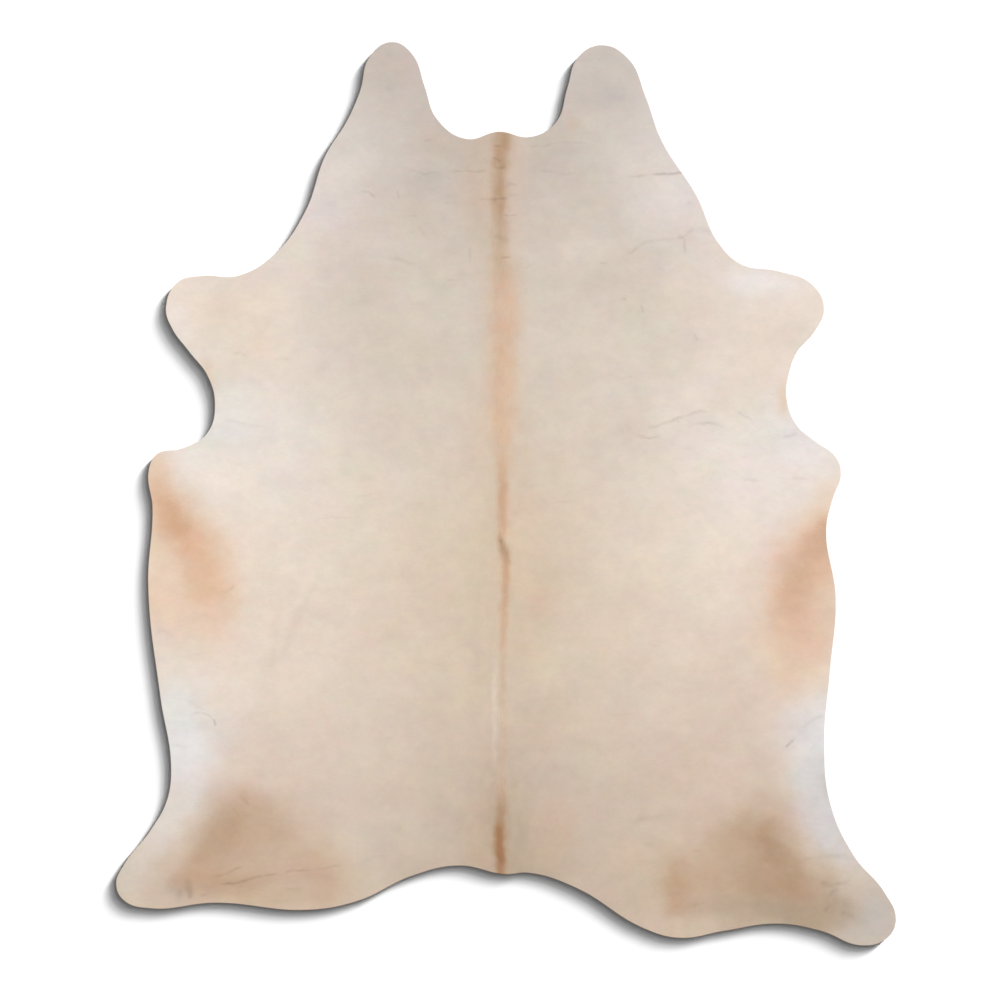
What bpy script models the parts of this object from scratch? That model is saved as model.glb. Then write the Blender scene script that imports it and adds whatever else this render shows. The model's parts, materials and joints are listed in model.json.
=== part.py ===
"""A whole cowhide rug, tanned with the hair on and lying flat, hair side up.

One closed sheet: the leather with its coat of short hair on top, cut to the outline
of the spread skin, with a rounded rim and the few soft folds that it keeps.
Metres, +Z up, +Y towards the neck. The origin is on the floor, under the middle of the box.
"""
import math

import bpy
import numpy as np
from mathutils import Vector
from mathutils.geometry import delaunay_2d_cdt

# Thickness
LEATHER = 0.002
COAT = 0.003
THICKNESS = LEATHER + COAT

# How finely the sheet is cut into faces
CURVE_STEPS = 16
EDGE_STEP = 0.020
FIELD_STEP = 0.072
FOLD_STEP = 0.045
EDGE_CLEARANCE = 0.022
FOLD_CLEARANCE = 0.030

# The rim, from the hair side over the edge to the flesh side:
# how far each line lies inside the outline, and its height as a share of the thickness
RIM = (
    ("top line", 0.0060, 1.00),
    ("shoulder of the coat", 0.0016, 0.86),
    ("outermost hair", 0.0000, 0.48),
    ("cut edge of the leather", 0.0014, 0.10),
    ("bottom line", 0.0060, 0.00),
)

# The outline, clockwise seen from the hair side, as a smooth curve through these landmarks.
# Columns: landmark, distance to the right of the spine, distance from the tail end towards the neck
NECK = (
    ("left flap, tip", -0.273, 2.107),
    ("left flap, inner shoulder", -0.223, 2.077),
    ("left flap, inner side", -0.191, 1.995),
    ("left flap, root", -0.161, 1.914),
    ("notch, left bottom", -0.086, 1.862),
    ("end of the spine", -0.003, 1.880),
    ("notch, right bottom", 0.078, 1.867),
    ("right flap, root", 0.142, 1.905),
    ("right flap, inner side", 0.170, 1.990),
    ("right flap, inner shoulder", 0.199, 2.070),
    ("right flap, tip", 0.259, 2.099),
    ("right flap, outer shoulder", 0.326, 2.063),
    ("right flap, outer side", 0.368, 1.970),
    ("right side of the neck, upper", 0.409, 1.858),
    ("right side of the neck, lower", 0.498, 1.717),
)
RIGHT_FORELEG = (
    ("shoulder, upper side", 0.552, 1.600),
    ("shoulder bay", 0.610, 1.545),
    ("leg, upper side", 0.708, 1.526),
    ("leg, upper corner", 0.789, 1.494),
    ("leg, tip", 0.820, 1.433),
    ("leg, lower corner", 0.794, 1.371),
    ("leg, lower side", 0.754, 1.326),
    ("flank bay, upper side", 0.731, 1.266),
    ("flank bay, bottom", 0.725, 1.211),
    ("flank bay, lower side", 0.749, 1.140),
)
RIGHT_BELLY = (
    ("upper side", 0.797, 1.097),
    ("upper corner", 0.850, 1.056),
    ("upper tip", 0.863, 1.016),
    ("below the tip", 0.842, 0.950),
    ("hollow", 0.826, 0.877),
    ("fullest", 0.850, 0.700),
    ("lower side", 0.835, 0.512),
)
RIGHT_HIND_LEG = (
    ("hind bay, bottom", 0.821, 0.335),
    ("hind bay, lower side", 0.837, 0.176),
    ("leg, outer side", 0.898, 0.044),
    ("leg, outer corner", 0.972, -0.044),
    ("leg, tip", 1.002, -0.115),
    ("leg, lower corner", 0.979, -0.162),
    ("leg, underside", 0.916, -0.180),
    ("leg, inner side", 0.815, -0.144),
)
RUMP = (
    ("right bay", 0.703, -0.125),
    ("right lobe, outer side", 0.569, -0.143),
    ("right lobe, lowest", 0.455, -0.161),
    ("right lobe, inner side", 0.367, -0.138),
    ("tail bay, right side", 0.190, -0.033),
    ("tail bay, right bottom", 0.071, 0.004),
    ("tail end of the spine", 0.015, 0.000),
    ("tail bay, left bottom", -0.104, 0.022),
    ("tail bay, left side", -0.223, -0.004),
    ("left lobe, inner side", -0.359, -0.067),
    ("left lobe, lowest", -0.486, -0.090),
    ("left bay", -0.721, -0.072),
)
LEFT_HIND_LEG = (
    ("leg, underside", -0.886, -0.086),
    ("leg, lower corner", -0.951, -0.067),
    ("leg, tip", -0.972, -0.025),
    ("leg, outer corner", -0.953, 0.023),
    ("leg, outer side", -0.886, 0.110),
    ("hind bay, lower side", -0.844, 0.186),
    ("hind bay, bottom", -0.833, 0.269),
)
LEFT_BELLY = (
    ("lower side", -0.860, 0.449),
    ("fullest", -0.891, 0.732),
    ("hollow", -0.880, 0.927),
    ("upper tip", -0.889, 1.026),
    ("upper corner", -0.868, 1.064),
    ("upper side", -0.805, 1.078),
)
LEFT_FORELEG = (
    ("flank bay, lower side", -0.741, 1.118),
    ("flank bay, bottom", -0.722, 1.188),
    ("flank bay, upper side", -0.740, 1.261),
    ("leg, lower side", -0.787, 1.323),
    ("leg, lower corner", -0.832, 1.385),
    ("leg, tip", -0.846, 1.433),
    ("leg, upper corner", -0.816, 1.499),
    ("leg, upper side", -0.754, 1.515),
    ("shoulder bay", -0.665, 1.515),
    ("shoulder, upper side", -0.572, 1.569),
)
LEFT_NECK = (
    ("side of the neck, lower", -0.493, 1.679),
    ("side of the neck, upper", -0.443, 1.818),
    ("left flap, outer root", -0.387, 1.909),
    ("left flap, outer side", -0.355, 1.982),
    ("left flap, outer shoulder", -0.328, 2.073),
)
OUTLINE = (NECK + RIGHT_FORELEG + RIGHT_BELLY + RIGHT_HIND_LEG + RUMP
           + LEFT_HIND_LEG + LEFT_BELLY + LEFT_FORELEG + LEFT_NECK)

# The soft folds that lift the sheet off the floor, in the same two directions as the outline.
# Columns: fold, start (side, along), end (side, along), half width, height
FOLDS = (
    ("spine, shoulders to loin", (0.006, 1.600), (0.008, 0.760), 0.030, 0.0020),
    ("spine, loin to tail", (-0.004, 0.700), (-0.004, 0.060), 0.030, 0.0020),
    ("beside the spine, left", (-0.060, 0.700), (-0.066, 0.220), 0.024, 0.0012),
    ("neck, left of the spine", (-0.250, 1.780), (-0.030, 1.776), 0.022, 0.0014),
    ("neck, right side", (0.240, 1.770), (0.430, 1.777), 0.022, 0.0014),
    ("right shoulder, below the neck", (0.300, 1.550), (0.485, 1.620), 0.024, 0.0016),
    ("right ribs, behind the shoulder", (0.330, 1.118), (0.560, 1.174), 0.028, 0.0026),
    ("left flank, slanting", (-0.462, 0.800), (-0.588, 0.450), 0.050, 0.0026),
    ("left belly, above the leg", (-0.820, 0.425), (-0.715, 0.372), 0.024, 0.0014),
    ("left rump, along the leg", (-0.730, -0.026), (-0.395, 0.024), 0.028, 0.0030),
    ("right rump, across", (0.300, 0.112), (0.500, 0.176), 0.032, 0.0020),
    ("right hind leg, at the hock", (0.755, -0.078), (0.905, -0.004), 0.024, 0.0016),
)
FOLD_END = 0.30

COAT_COLOUR = (0.72, 0.62, 0.52, 1.0)
COAT_ROUGHNESS = 0.85


def clear_scene():
    for old in list(bpy.data.objects):
        bpy.data.objects.remove(old, do_unlink=True)


def smooth_curve(landmarks):
    """Points along a closed Bezier curve with automatic handles through the landmarks."""
    data = bpy.data.curves.new("outline_curve", "CURVE")
    spline = data.splines.new("BEZIER")
    spline.bezier_points.add(len(landmarks) - 1)
    for knot, (_, side, along) in zip(spline.bezier_points, landmarks):
        knot.co = (side, along, 0.0)
        knot.handle_left_type = "AUTO"
        knot.handle_right_type = "AUTO"
    spline.use_cyclic_u = True
    spline.resolution_u = CURVE_STEPS
    data.resolution_u = CURVE_STEPS
    holder = bpy.data.objects.new("outline_curve", data)
    bpy.context.scene.collection.objects.link(holder)
    mesh = bpy.data.meshes.new_from_object(holder)
    points = np.array([vertex.co[:2] for vertex in mesh.vertices])
    bpy.data.objects.remove(holder, do_unlink=True)
    bpy.data.curves.remove(data)
    bpy.data.meshes.remove(mesh)
    return points


def evenly_spaced(points, step):
    """The closed line again, with points at equal distances along it."""
    closed = np.vstack([points, points[:1]])
    run = np.append(0.0, np.cumsum(np.linalg.norm(np.diff(closed, axis=0), axis=1)))
    count = round(run[-1] / step)
    at = np.arange(count) * run[-1] / count
    return np.column_stack([np.interp(at, run, closed[:, axis]) for axis in (0, 1)])


def inward(ring):
    """The unit vector at each point of a clockwise ring that points into the hide."""
    tangent = np.roll(ring, -1, axis=0) - np.roll(ring, 1, axis=0)
    tangent /= np.linalg.norm(tangent, axis=1)[:, None]
    return np.column_stack([tangent[:, 1], -tangent[:, 0]])


def inside(points, ring):
    """Which points a closed ring holds, by counting the edges to the right of each."""
    x, y = points[:, :1], points[:, 1:]
    ax, ay = ring.T
    bx, by = np.roll(ring, -1, axis=0).T
    crosses = (ay > y) != (by > y)
    reach = ax + (y - ay) * (bx - ax) / np.where(by == ay, 1.0, by - ay)
    return (crosses & (x < reach)).sum(axis=1) % 2 == 1


def nearest(points, others):
    """The distance from each point to the nearest of the others."""
    gaps = points[:, None, :] - others[None, :, :]
    return np.sqrt((gaps ** 2).sum(axis=2)).min(axis=1)


def fold_lift(points, middle):
    """How high the folds lift the sheet at each point."""
    lift = np.zeros(len(points))
    for _, start, end, half_width, height in FOLDS:
        a = np.array(start) - middle
        run = np.array(end) - start
        share = np.clip((points - a) @ run / (run @ run), 0.0, 1.0)
        away = np.linalg.norm(points - a - share[:, None] * run, axis=1)
        taper = np.clip(np.minimum(share, 1.0 - share) / FOLD_END, 0.0, 1.0)
        across = np.cos(np.clip(away / half_width, 0.0, 1.0) * math.pi / 2.0) ** 2
        lift += height * np.sin(taper * math.pi / 2.0) * across
    return lift


def fold_points(middle):
    """Points along the crest and the two feet of every fold."""
    found = []
    for _, start, end, half_width, _ in FOLDS:
        a = np.array(start) - middle
        run = np.array(end) - start
        length = np.linalg.norm(run)
        side = np.array([-run[1], run[0]]) / length * half_width
        for share in np.linspace(0.0, 1.0, math.ceil(length / FOLD_STEP) + 1):
            found += [a + share * run + across * side for across in (-1.0, 0.0, 1.0)]
    return np.array(found)


def field_points(inner_ring, folds):
    """A net of points over the hide, clear of its rim and of the folds' own points."""
    low, high = inner_ring.min(axis=0), inner_ring.max(axis=0)
    rows = np.arange(low[1], high[1], FIELD_STEP * math.sqrt(0.75))
    net = []
    for number, y in enumerate(rows):
        start = low[0] + (number % 2) * FIELD_STEP / 2.0
        net += [(x, y) for x in np.arange(start, high[0], FIELD_STEP)]
    net = np.array(net)
    net = net[nearest(net, folds) > FOLD_CLEARANCE]
    net = np.vstack([folds, net])
    net = net[inside(net, inner_ring)]
    return net[nearest(net, inner_ring) > EDGE_CLEARANCE]


def triangulated(inner_ring, field):
    """Triangles that fill the inner ring and use every point of the field."""
    flat = [Vector(point) for point in np.vstack([inner_ring, field])]
    count = len(inner_ring)
    border = [(number, (number + 1) % count) for number in range(count)]
    result = delaunay_2d_cdt(flat, border, [], 1, 1e-7)
    return np.array([point[:] for point in result[0]]), [tuple(face) for face in result[2]]


def hide_mesh():
    ring = evenly_spaced(smooth_curve(OUTLINE), EDGE_STEP)
    middle = (ring.min(axis=0) + ring.max(axis=0)) / 2.0
    ring = ring - middle
    into = inward(ring)
    count = len(ring)
    inner_ring = ring + into * RIM[0][1]
    flat, faces = triangulated(inner_ring, field_points(inner_ring, fold_points(middle)))
    size = len(flat)

    top = np.column_stack([flat, THICKNESS + fold_lift(flat, middle)])
    bottom = np.column_stack([flat, fold_lift(flat, middle)])
    blocks = [top, bottom]
    starts = [0]
    for _, inset, share in RIM[1:-1]:
        line = ring + into * inset
        starts.append(sum(len(block) for block in blocks))
        blocks.append(np.column_stack([line, share * THICKNESS + fold_lift(line, middle)]))
    starts.append(size)

    mesh_faces = [face if counter_clockwise(flat, face) else face[::-1] for face in faces]
    mesh_faces += [tuple(size + corner for corner in reversed(face)) for face in mesh_faces]
    for upper, lower in zip(starts, starts[1:]):
        for number in range(count):
            after = (number + 1) % count
            mesh_faces.append((upper + number, upper + after, lower + after))
            mesh_faces.append((upper + number, lower + after, lower + number))
    mesh = bpy.data.meshes.new("hide")
    mesh.from_pydata(np.vstack(blocks).tolist(), [], mesh_faces)
    mesh.shade_smooth()
    mesh.set_sharp_from_angle(angle=math.radians(40.0))
    return mesh


def counter_clockwise(flat, face):
    a, b, c = (flat[corner] for corner in face)
    return (b[0] - a[0]) * (c[1] - a[1]) > (b[1] - a[1]) * (c[0] - a[0])


def coat_material():
    material = bpy.data.materials.new("hair_on_hide")
    material.use_nodes = True
    shader = material.node_tree.nodes["Principled BSDF"]
    shader.inputs["Base Color"].default_value = COAT_COLOUR
    shader.inputs["Roughness"].default_value = COAT_ROUGHNESS
    shader.inputs["Metallic"].default_value = 0.0
    return material


def main():
    clear_scene()
    mesh = hide_mesh()
    mesh.materials.append(coat_material())
    hide = bpy.data.objects.new("hide", mesh)
    bpy.context.scene.collection.objects.link(hide)


main()
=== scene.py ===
"""A whole hair-on cowhide rug: its leather, its short coat of hair, and the studio round it.

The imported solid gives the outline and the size. The leather and the coat are sheets that
follow the same soft folds, and thousands of small locks of hair lie on the coat.
"""
import json
import math
from functools import cache

import bmesh
import bpy
import numpy as np
from bpy.props import FloatProperty, FloatVectorProperty, IntProperty, PointerProperty
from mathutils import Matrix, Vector, kdtree, noise
from mathutils.geometry import delaunay_2d_cdt

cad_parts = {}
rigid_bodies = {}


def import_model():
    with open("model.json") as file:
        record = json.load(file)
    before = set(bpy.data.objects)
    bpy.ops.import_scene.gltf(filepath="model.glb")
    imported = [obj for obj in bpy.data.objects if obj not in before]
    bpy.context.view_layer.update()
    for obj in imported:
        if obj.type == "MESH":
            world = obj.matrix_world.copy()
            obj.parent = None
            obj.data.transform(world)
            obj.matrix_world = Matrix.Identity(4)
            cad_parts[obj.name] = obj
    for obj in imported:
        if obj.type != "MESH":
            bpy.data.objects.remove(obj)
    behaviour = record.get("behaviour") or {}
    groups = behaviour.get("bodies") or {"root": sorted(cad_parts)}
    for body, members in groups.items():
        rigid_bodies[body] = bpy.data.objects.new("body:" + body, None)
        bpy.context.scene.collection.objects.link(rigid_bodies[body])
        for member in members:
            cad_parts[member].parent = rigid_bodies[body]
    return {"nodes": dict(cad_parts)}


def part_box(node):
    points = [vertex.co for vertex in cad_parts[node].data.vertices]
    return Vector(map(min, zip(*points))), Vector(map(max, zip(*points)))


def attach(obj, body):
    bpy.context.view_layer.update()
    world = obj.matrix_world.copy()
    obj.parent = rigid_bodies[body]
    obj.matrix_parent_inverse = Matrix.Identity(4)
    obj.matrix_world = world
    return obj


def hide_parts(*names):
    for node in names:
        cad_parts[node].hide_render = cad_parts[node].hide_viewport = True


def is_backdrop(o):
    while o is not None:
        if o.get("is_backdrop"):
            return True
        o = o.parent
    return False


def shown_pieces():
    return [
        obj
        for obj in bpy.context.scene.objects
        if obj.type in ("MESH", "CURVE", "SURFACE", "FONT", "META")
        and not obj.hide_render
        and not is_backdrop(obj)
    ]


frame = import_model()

bl_info = {
    "name": "Cowhide Rug",
    "version": (1, 0, 0),
    "blender": (4, 5, 0),
    "location": "3D View > Sidebar > Cowhide",
    "description": "Leather, coat of hair and plain studio for a flat hair-on cowhide rug",
    "category": "Object",
}

NODE = "hide"
BODY = "root"
CAD_LOW, CAD_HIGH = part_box(NODE)

# The two directions in which the tables below measure: to the right of the spine,
# and from the tail end towards the neck. Both start inside the box of the solid.
SPINE_FROM_LEFT = 0.9722
TAIL_FROM_LOWEST = 0.1804
SPINE_X = CAD_LOW.x + SPINE_FROM_LEFT
TAIL_Y = CAD_LOW.y + TAIL_FROM_LOWEST

# The soft folds of the whole sheet, as the solid has them.
# Columns: fold, start (side, along), end (side, along), half width, height
FOLDS = (
    ("spine, shoulders to loin", (0.006, 1.6), (0.008, 0.76), 0.03, 0.002),
    ("spine, loin to tail", (-0.004, 0.7), (-0.004, 0.06), 0.03, 0.002),
    ("beside the spine, left", (-0.06, 0.7), (-0.066, 0.22), 0.024, 0.0012),
    ("neck, left of the spine", (-0.25, 1.78), (-0.03, 1.776), 0.022, 0.0014),
    ("neck, right side", (0.24, 1.77), (0.43, 1.777), 0.022, 0.0014),
    ("right shoulder, below the neck", (0.3, 1.55), (0.485, 1.62), 0.024, 0.0016),
    ("right ribs, behind the shoulder", (0.33, 1.118), (0.56, 1.174), 0.028, 0.0026),
    ("left flank, slanting", (-0.462, 0.8), (-0.588, 0.45), 0.05, 0.0026),
    ("left belly, above the leg", (-0.82, 0.425), (-0.715, 0.372), 0.024, 0.0014),
    ("left rump, along the leg", (-0.73, -0.026), (-0.395, 0.024), 0.028, 0.003),
    ("right rump, across", (0.3, 0.112), (0.5, 0.176), 0.032, 0.002),
    ("right hind leg, at the hock", (0.755, -0.078), (0.905, -0.004), 0.024, 0.0016),
)
FOLD_END = 0.30

# The fine creases in the coat: soft troughs along a line of places, darkened with painted shade.
# The dots, blots and knots among them are small dark marks of the coat itself.
# Columns: crease, half width, depth, darkness (the painted shade, or a mark's own tone), places (side,
# along)
CREASES = (
    ("neck, left, outer", 0.003, 0.0004, 0.09,
     ((-0.24, 1.785), (-0.215, 1.78), (-0.192, 1.77), (-0.172, 1.777), (-0.152, 1.775))),
    ("neck, left, inner", 0.003, 0.0005, 0.11,
     ((-0.134, 1.777), (-0.089, 1.78), (-0.056, 1.777), (-0.025, 1.785))),
    ("neck, left, knot", 0.004, 0.0003, 0.12, ((-0.194, 1.771), (-0.19, 1.769))),
    ("neck, left, dot", 0.003, 0.0003, 0.2, ((-0.237, 1.785), (-0.233, 1.785))),
    ("neck, right, inner", 0.0028, 0.0004, 0.1,
     ((0.319, 1.765), (0.339, 1.765), (0.367, 1.77), (0.395, 1.771))),
    ("neck, right, outer", 0.003, 0.0006, 0.26, ((0.38, 1.771), (0.435, 1.773), (0.475, 1.779))),
    ("neck, right, upper", 0.003, 0.0003, 0.06,
     ((0.056, 1.843), (0.114, 1.843), (0.152, 1.853), (0.228, 1.851))),
    ("neck, right, middle", 0.003, 0.0003, 0.05,
     ((0.076, 1.775), (0.121, 1.78), (0.164, 1.77), (0.19, 1.775))),
    ("mane, first wrinkle", 0.003, 0.0005, 0.16, ((-0.018, 1.843), (0.013, 1.843))),
    ("mane, second wrinkle", 0.003, 0.0005, 0.17, ((-0.02, 1.813), (-0.01, 1.81), (0.003, 1.803))),
    ("mane, third wrinkle", 0.0034, 0.0005, 0.15, ((-0.018, 1.789), (0.013, 1.787))),
    ("mane, fourth wrinkle", 0.0032, 0.0006, 0.16, ((-0.056, 1.709), (-0.018, 1.708), (0.023, 1.712))),
    ("mane, fifth wrinkle", 0.0028, 0.0004, 0.15, ((0.008, 1.667), (0.038, 1.668))),
    ("mane, sixth wrinkle", 0.0045, 0.0004, 0.06, ((-0.02, 1.615), (0.018, 1.608))),
    ("mane, seventh wrinkle", 0.0025, 0.0004, 0.24, ((0.002, 1.56), (0.023, 1.562))),
    ("mane, right, upper", 0.0028, 0.0003, 0.1, ((0.018, 1.747), (0.043, 1.746))),
    ("mane, right, lower", 0.0028, 0.0003, 0.07, ((0.02, 1.719), (0.046, 1.719))),
    ("withers, left, upper", 0.0026, 0.0003, 0.07, ((-0.144, 1.699), (-0.111, 1.699))),
    ("withers, left, middle", 0.0026, 0.0003, 0.06, ((-0.109, 1.638), (-0.089, 1.638))),
    ("withers, left, lower", 0.0028, 0.0003, 0.08, ((-0.139, 1.504), (-0.109, 1.504))),
    ("withers, left, tick", 0.0026, 0.0004, 0.11, ((-0.078, 1.59), (-0.076, 1.545))),
    ("withers, right", 0.0028, 0.0003, 0.06, ((0.048, 1.534), (0.068, 1.537), (0.094, 1.55))),
    ("shoulder, left, slanting", 0.0028, 0.0003, 0.08, ((-0.207, 1.643), (-0.2, 1.631), (-0.19, 1.615))),
    ("shoulder, left, short", 0.003, 0.0003, 0.08, ((-0.238, 1.666), (-0.213, 1.666))),
    ("shoulder, left, cloudy", 0.005, 0.0004, 0.08,
     ((-0.291, 1.562), (-0.253, 1.555), (-0.23, 1.545), (-0.21, 1.55))),
    ("shoulder, left, dot", 0.0035, 0.0003, 0.26, ((-0.34, 1.57), (-0.338, 1.57))),
    ("shoulder, right, long", 0.004, 0.0006, 0.09,
     ((0.304, 1.567), (0.329, 1.572), (0.344, 1.585), (0.362, 1.598), (0.392, 1.605), (0.435, 1.608),
      (0.46, 1.61))),
    ("shoulder, right, knot", 0.0048, 0.0004, 0.18, ((0.447, 1.61), (0.468, 1.613))),
    ("shoulder, right, tick", 0.0028, 0.0004, 0.15, ((0.466, 1.612), (0.466, 1.567))),
    ("shoulder, right, to the edge", 0.007, 0.0004, 0.1,
     ((0.466, 1.615), (0.486, 1.631), (0.511, 1.633), (0.539, 1.628))),
    ("ribs, right, upper", 0.004, 0.0006, 0.12,
     ((0.362, 1.13), (0.392, 1.132), (0.412, 1.14), (0.433, 1.147), (0.45, 1.155), (0.476, 1.161),
      (0.496, 1.17), (0.514, 1.173), (0.534, 1.17))),
    ("ribs, right, lower", 0.0036, 0.0005, 0.1,
     ((0.481, 1.137), (0.506, 1.139), (0.524, 1.142), (0.546, 1.14), (0.564, 1.13))),
    ("ribs, right, short", 0.0022, 0.0003, 0.14, ((0.347, 1.109), (0.369, 1.109))),
    ("ribs, right, shorter", 0.0022, 0.0003, 0.16, ((0.354, 1.104), (0.38, 1.103), (0.4, 1.108))),
    ("ribs, right, knot", 0.0035, 0.0003, 0.1, ((0.449, 1.149), (0.451, 1.145))),
    ("ribs, right, lower knot", 0.0045, 0.0003, 0.08, ((0.453, 1.117), (0.453, 1.111))),
    ("ribs, right, far", 0.003, 0.0004, 0.1, ((0.6, 1.17), (0.615, 1.162), (0.633, 1.152))),
    ("ribs, right, at the edge", 0.004, 0.0004, 0.1, ((0.713, 1.107), (0.734, 1.109), (0.754, 1.117))),
    ("ribs, right, arch", 0.0028, 0.0003, 0.08, ((0.296, 1.251), (0.316, 1.259), (0.336, 1.259))),
    ("ribs, right, slit", 0.0024, 0.0003, 0.07, ((0.139, 0.942), (0.18, 0.943))),
    ("ribs, right, soft", 0.004, 0.0003, 0.07, ((0.61, 0.998), (0.658, 0.998))),
    ("foreleg, left", 0.0026, 0.0003, 0.09, ((-0.678, 1.317), (-0.658, 1.322), (-0.64, 1.309))),
    ("foreleg, left, inner", 0.0026, 0.0003, 0.05, ((-0.577, 1.304), (-0.531, 1.304))),
    ("foreleg, right", 0.004, 0.0003, 0.08, ((0.488, 1.37), (0.498, 1.352))),
    ("ribs, left", 0.0026, 0.0003, 0.06, ((-0.367, 0.955), (-0.316, 0.963))),
    ("flank, left, hook", 0.003, 0.0004, 0.13,
     ((-0.706, 0.717), (-0.691, 0.712), (-0.678, 0.725), (-0.673, 0.737))),
    ("flank, left, at the edge", 0.006, 0.0003, 0.08,
     ((-0.873, 0.619), (-0.853, 0.614), (-0.825, 0.601))),
    ("belly, left, curve", 0.003, 0.0004, 0.12,
     ((-0.784, 0.406), (-0.764, 0.409), (-0.741, 0.404), (-0.726, 0.391), (-0.719, 0.381))),
    ("belly, left, tick", 0.003, 0.0004, 0.22, ((-0.726, 0.393), (-0.721, 0.376))),
    ("belly, left, soft", 0.006, 0.0003, 0.05, ((-0.794, 0.441), (-0.767, 0.426), (-0.746, 0.411))),
    ("belly, left, low", 0.005, 0.0003, 0.07, ((-0.83, 0.328), (-0.794, 0.32))),
    ("belly, right, tick", 0.003, 0.0004, 0.2, ((0.721, 0.32), (0.734, 0.333), (0.746, 0.343))),
    ("belly, right, curve", 0.005, 0.0004, 0.08,
     ((0.759, 0.361), (0.774, 0.378), (0.797, 0.396), (0.822, 0.401))),
    ("belly, right, low", 0.004, 0.0003, 0.06, ((0.784, 0.312), (0.799, 0.333))),
    ("rump, left, long", 0.0032, 0.0008, 0.2,
     ((-0.713, -0.025), (-0.678, -0.024), (-0.645, -0.016), (-0.627, -0.009), (-0.602, -0.004),
      (-0.559, 0.001))),
    ("rump, left, middle", 0.003, 0.0006, 0.17,
     ((-0.549, 0.004), (-0.526, 0.009), (-0.498, 0.011), (-0.476, 0.011))),
    ("rump, left, far", 0.0026, 0.0005, 0.1,
     ((-0.476, 0.011), (-0.45, 0.014), (-0.425, 0.019), (-0.4, 0.022))),
    ("rump, left, dot", 0.0036, 0.0003, 0.14, ((-0.404, 0.022), (-0.4, 0.021))),
    ("rump, left, upper", 0.0032, 0.0005, 0.11,
     ((-0.729, -0.004), (-0.708, -0.004), (-0.683, 0.006), (-0.665, 0.016), (-0.643, 0.019))),
    ("rump, left, lower", 0.0048, 0.0004, 0.08, ((-0.549, -0.037), (-0.506, -0.039))),
    ("rump, left, towards the tail", 0.0036, 0.0003, 0.06,
     ((-0.347, 0.032), (-0.324, 0.042), (-0.291, 0.047))),
    ("hock, left", 0.008, 0.0006, 0.2, ((-0.792, -0.009), (-0.789, -0.039), (-0.782, -0.065))),
    ("hock, left, outer", 0.007, 0.0005, 0.13, ((-0.807, -0.034), (-0.815, -0.059))),
    ("hock, left, inner", 0.0032, 0.0003, 0.16, ((-0.759, -0.054), (-0.741, -0.052))),
    ("rump, right, soft", 0.008, 0.0006, 0.07,
     ((0.324, 0.133), (0.354, 0.138), (0.385, 0.143), (0.417, 0.145))),
    ("rump, right, lower", 0.008, 0.0004, 0.05, ((0.355, 0.076), (0.392, 0.075))),
    ("rump, right, low", 0.0036, 0.0003, 0.08, ((0.481, -0.082), (0.519, -0.072))),
    ("hock, right, upper", 0.006, 0.0005, 0.09,
     ((0.751, 0.034), (0.789, 0.042), (0.86, 0.047), (0.89, 0.044))),
    ("hock, right, middle", 0.0052, 0.0007, 0.15, ((0.842, -0.024), (0.868, -0.024), (0.888, -0.011))),
    ("hock, right, lower", 0.0052, 0.0006, 0.14, ((0.83, -0.057), (0.848, -0.039), (0.86, -0.034))),
    ("hock, right, lowest", 0.0056, 0.0005, 0.11, ((0.817, -0.097), (0.835, -0.077))),
    ("hock, right, cross", 0.006, 0.0006, 0.1, ((0.808, -0.018), (0.832, -0.029), (0.852, -0.027))),
    ("hock, right, bow", 0.009, 0.0006, 0.1, ((0.838, -0.062), (0.868, -0.072), (0.888, -0.088))),
    ("hock, right, blot", 0.008, 0.0005, 0.09, ((0.858, -0.096), (0.898, -0.108))),
    ("hock, right, rim", 0.007, 0.0004, 0.06, ((0.81, 0.264), (0.822, 0.226), (0.825, 0.188))),
    ("hind, right, slit", 0.003, 0.0003, 0.08, ((0.486, 0.059), (0.511, 0.059))),
    ("hind, left, upper arc", 0.0034, 0.0003, 0.1, ((-0.66, 0.196), (-0.648, 0.188), (-0.636, 0.174))),
    ("hind, left, lower arc", 0.0034, 0.0003, 0.1, ((-0.68, 0.169), (-0.663, 0.151))),
    ("neck, left, bow", 0.003, 0.0003, 0.09, ((-0.354, 1.729), (-0.334, 1.727), (-0.316, 1.711))),
    ("neck, left, tick", 0.0028, 0.0003, 0.1, ((-0.261, 1.732), (-0.256, 1.707))),
    ("neck, left, tick at the edge", 0.003, 0.0003, 0.12, ((-0.386, 1.604), (-0.382, 1.597))),
    ("neck, left, slit", 0.0028, 0.0003, 0.07, ((-0.195, 1.858), (-0.172, 1.858))),
    ("neck, right, blot", 0.0055, 0.0003, 0.1, ((0.272, 1.697), (0.276, 1.694))),
    ("neck, right, blot at the edge", 0.006, 0.0003, 0.1, ((0.47, 1.699), (0.487, 1.699))),
    ("shoulder, right, upper blot", 0.0045, 0.0003, 0.1, ((0.292, 1.624), (0.297, 1.622))),
    ("shoulder, right, slit", 0.003, 0.0003, 0.1, ((0.252, 1.547), (0.267, 1.547))),
    ("shoulder, right, dot", 0.004, 0.0003, 0.14, ((0.189, 1.495), (0.192, 1.493))),
    ("shoulder, right, dash", 0.0034, 0.0003, 0.13, ((0.307, 1.456), (0.32, 1.456))),
    ("shoulder, right, lower dot", 0.004, 0.0003, 0.12, ((0.353, 1.454), (0.357, 1.452))),
    ("shoulder, right, lower tick", 0.003, 0.0003, 0.1, ((0.356, 1.442), (0.362, 1.422))),
    ("ribs, right, dot", 0.0034, 0.0003, 0.12, ((0.325, 1.125), (0.329, 1.125))),
    ("ribs, right, fine line", 0.0028, 0.0003, 0.08, ((0.732, 1.001), (0.776, 1.002))),
    ("haunch, right, fine line", 0.003, 0.0003, 0.05, ((0.292, 0.404), (0.336, 0.404))),
    ("armpit, left", 0.004, 0.0004, 0.06, ((-0.696, 1.15), (-0.65, 1.14), (-0.602, 1.13))),
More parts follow.
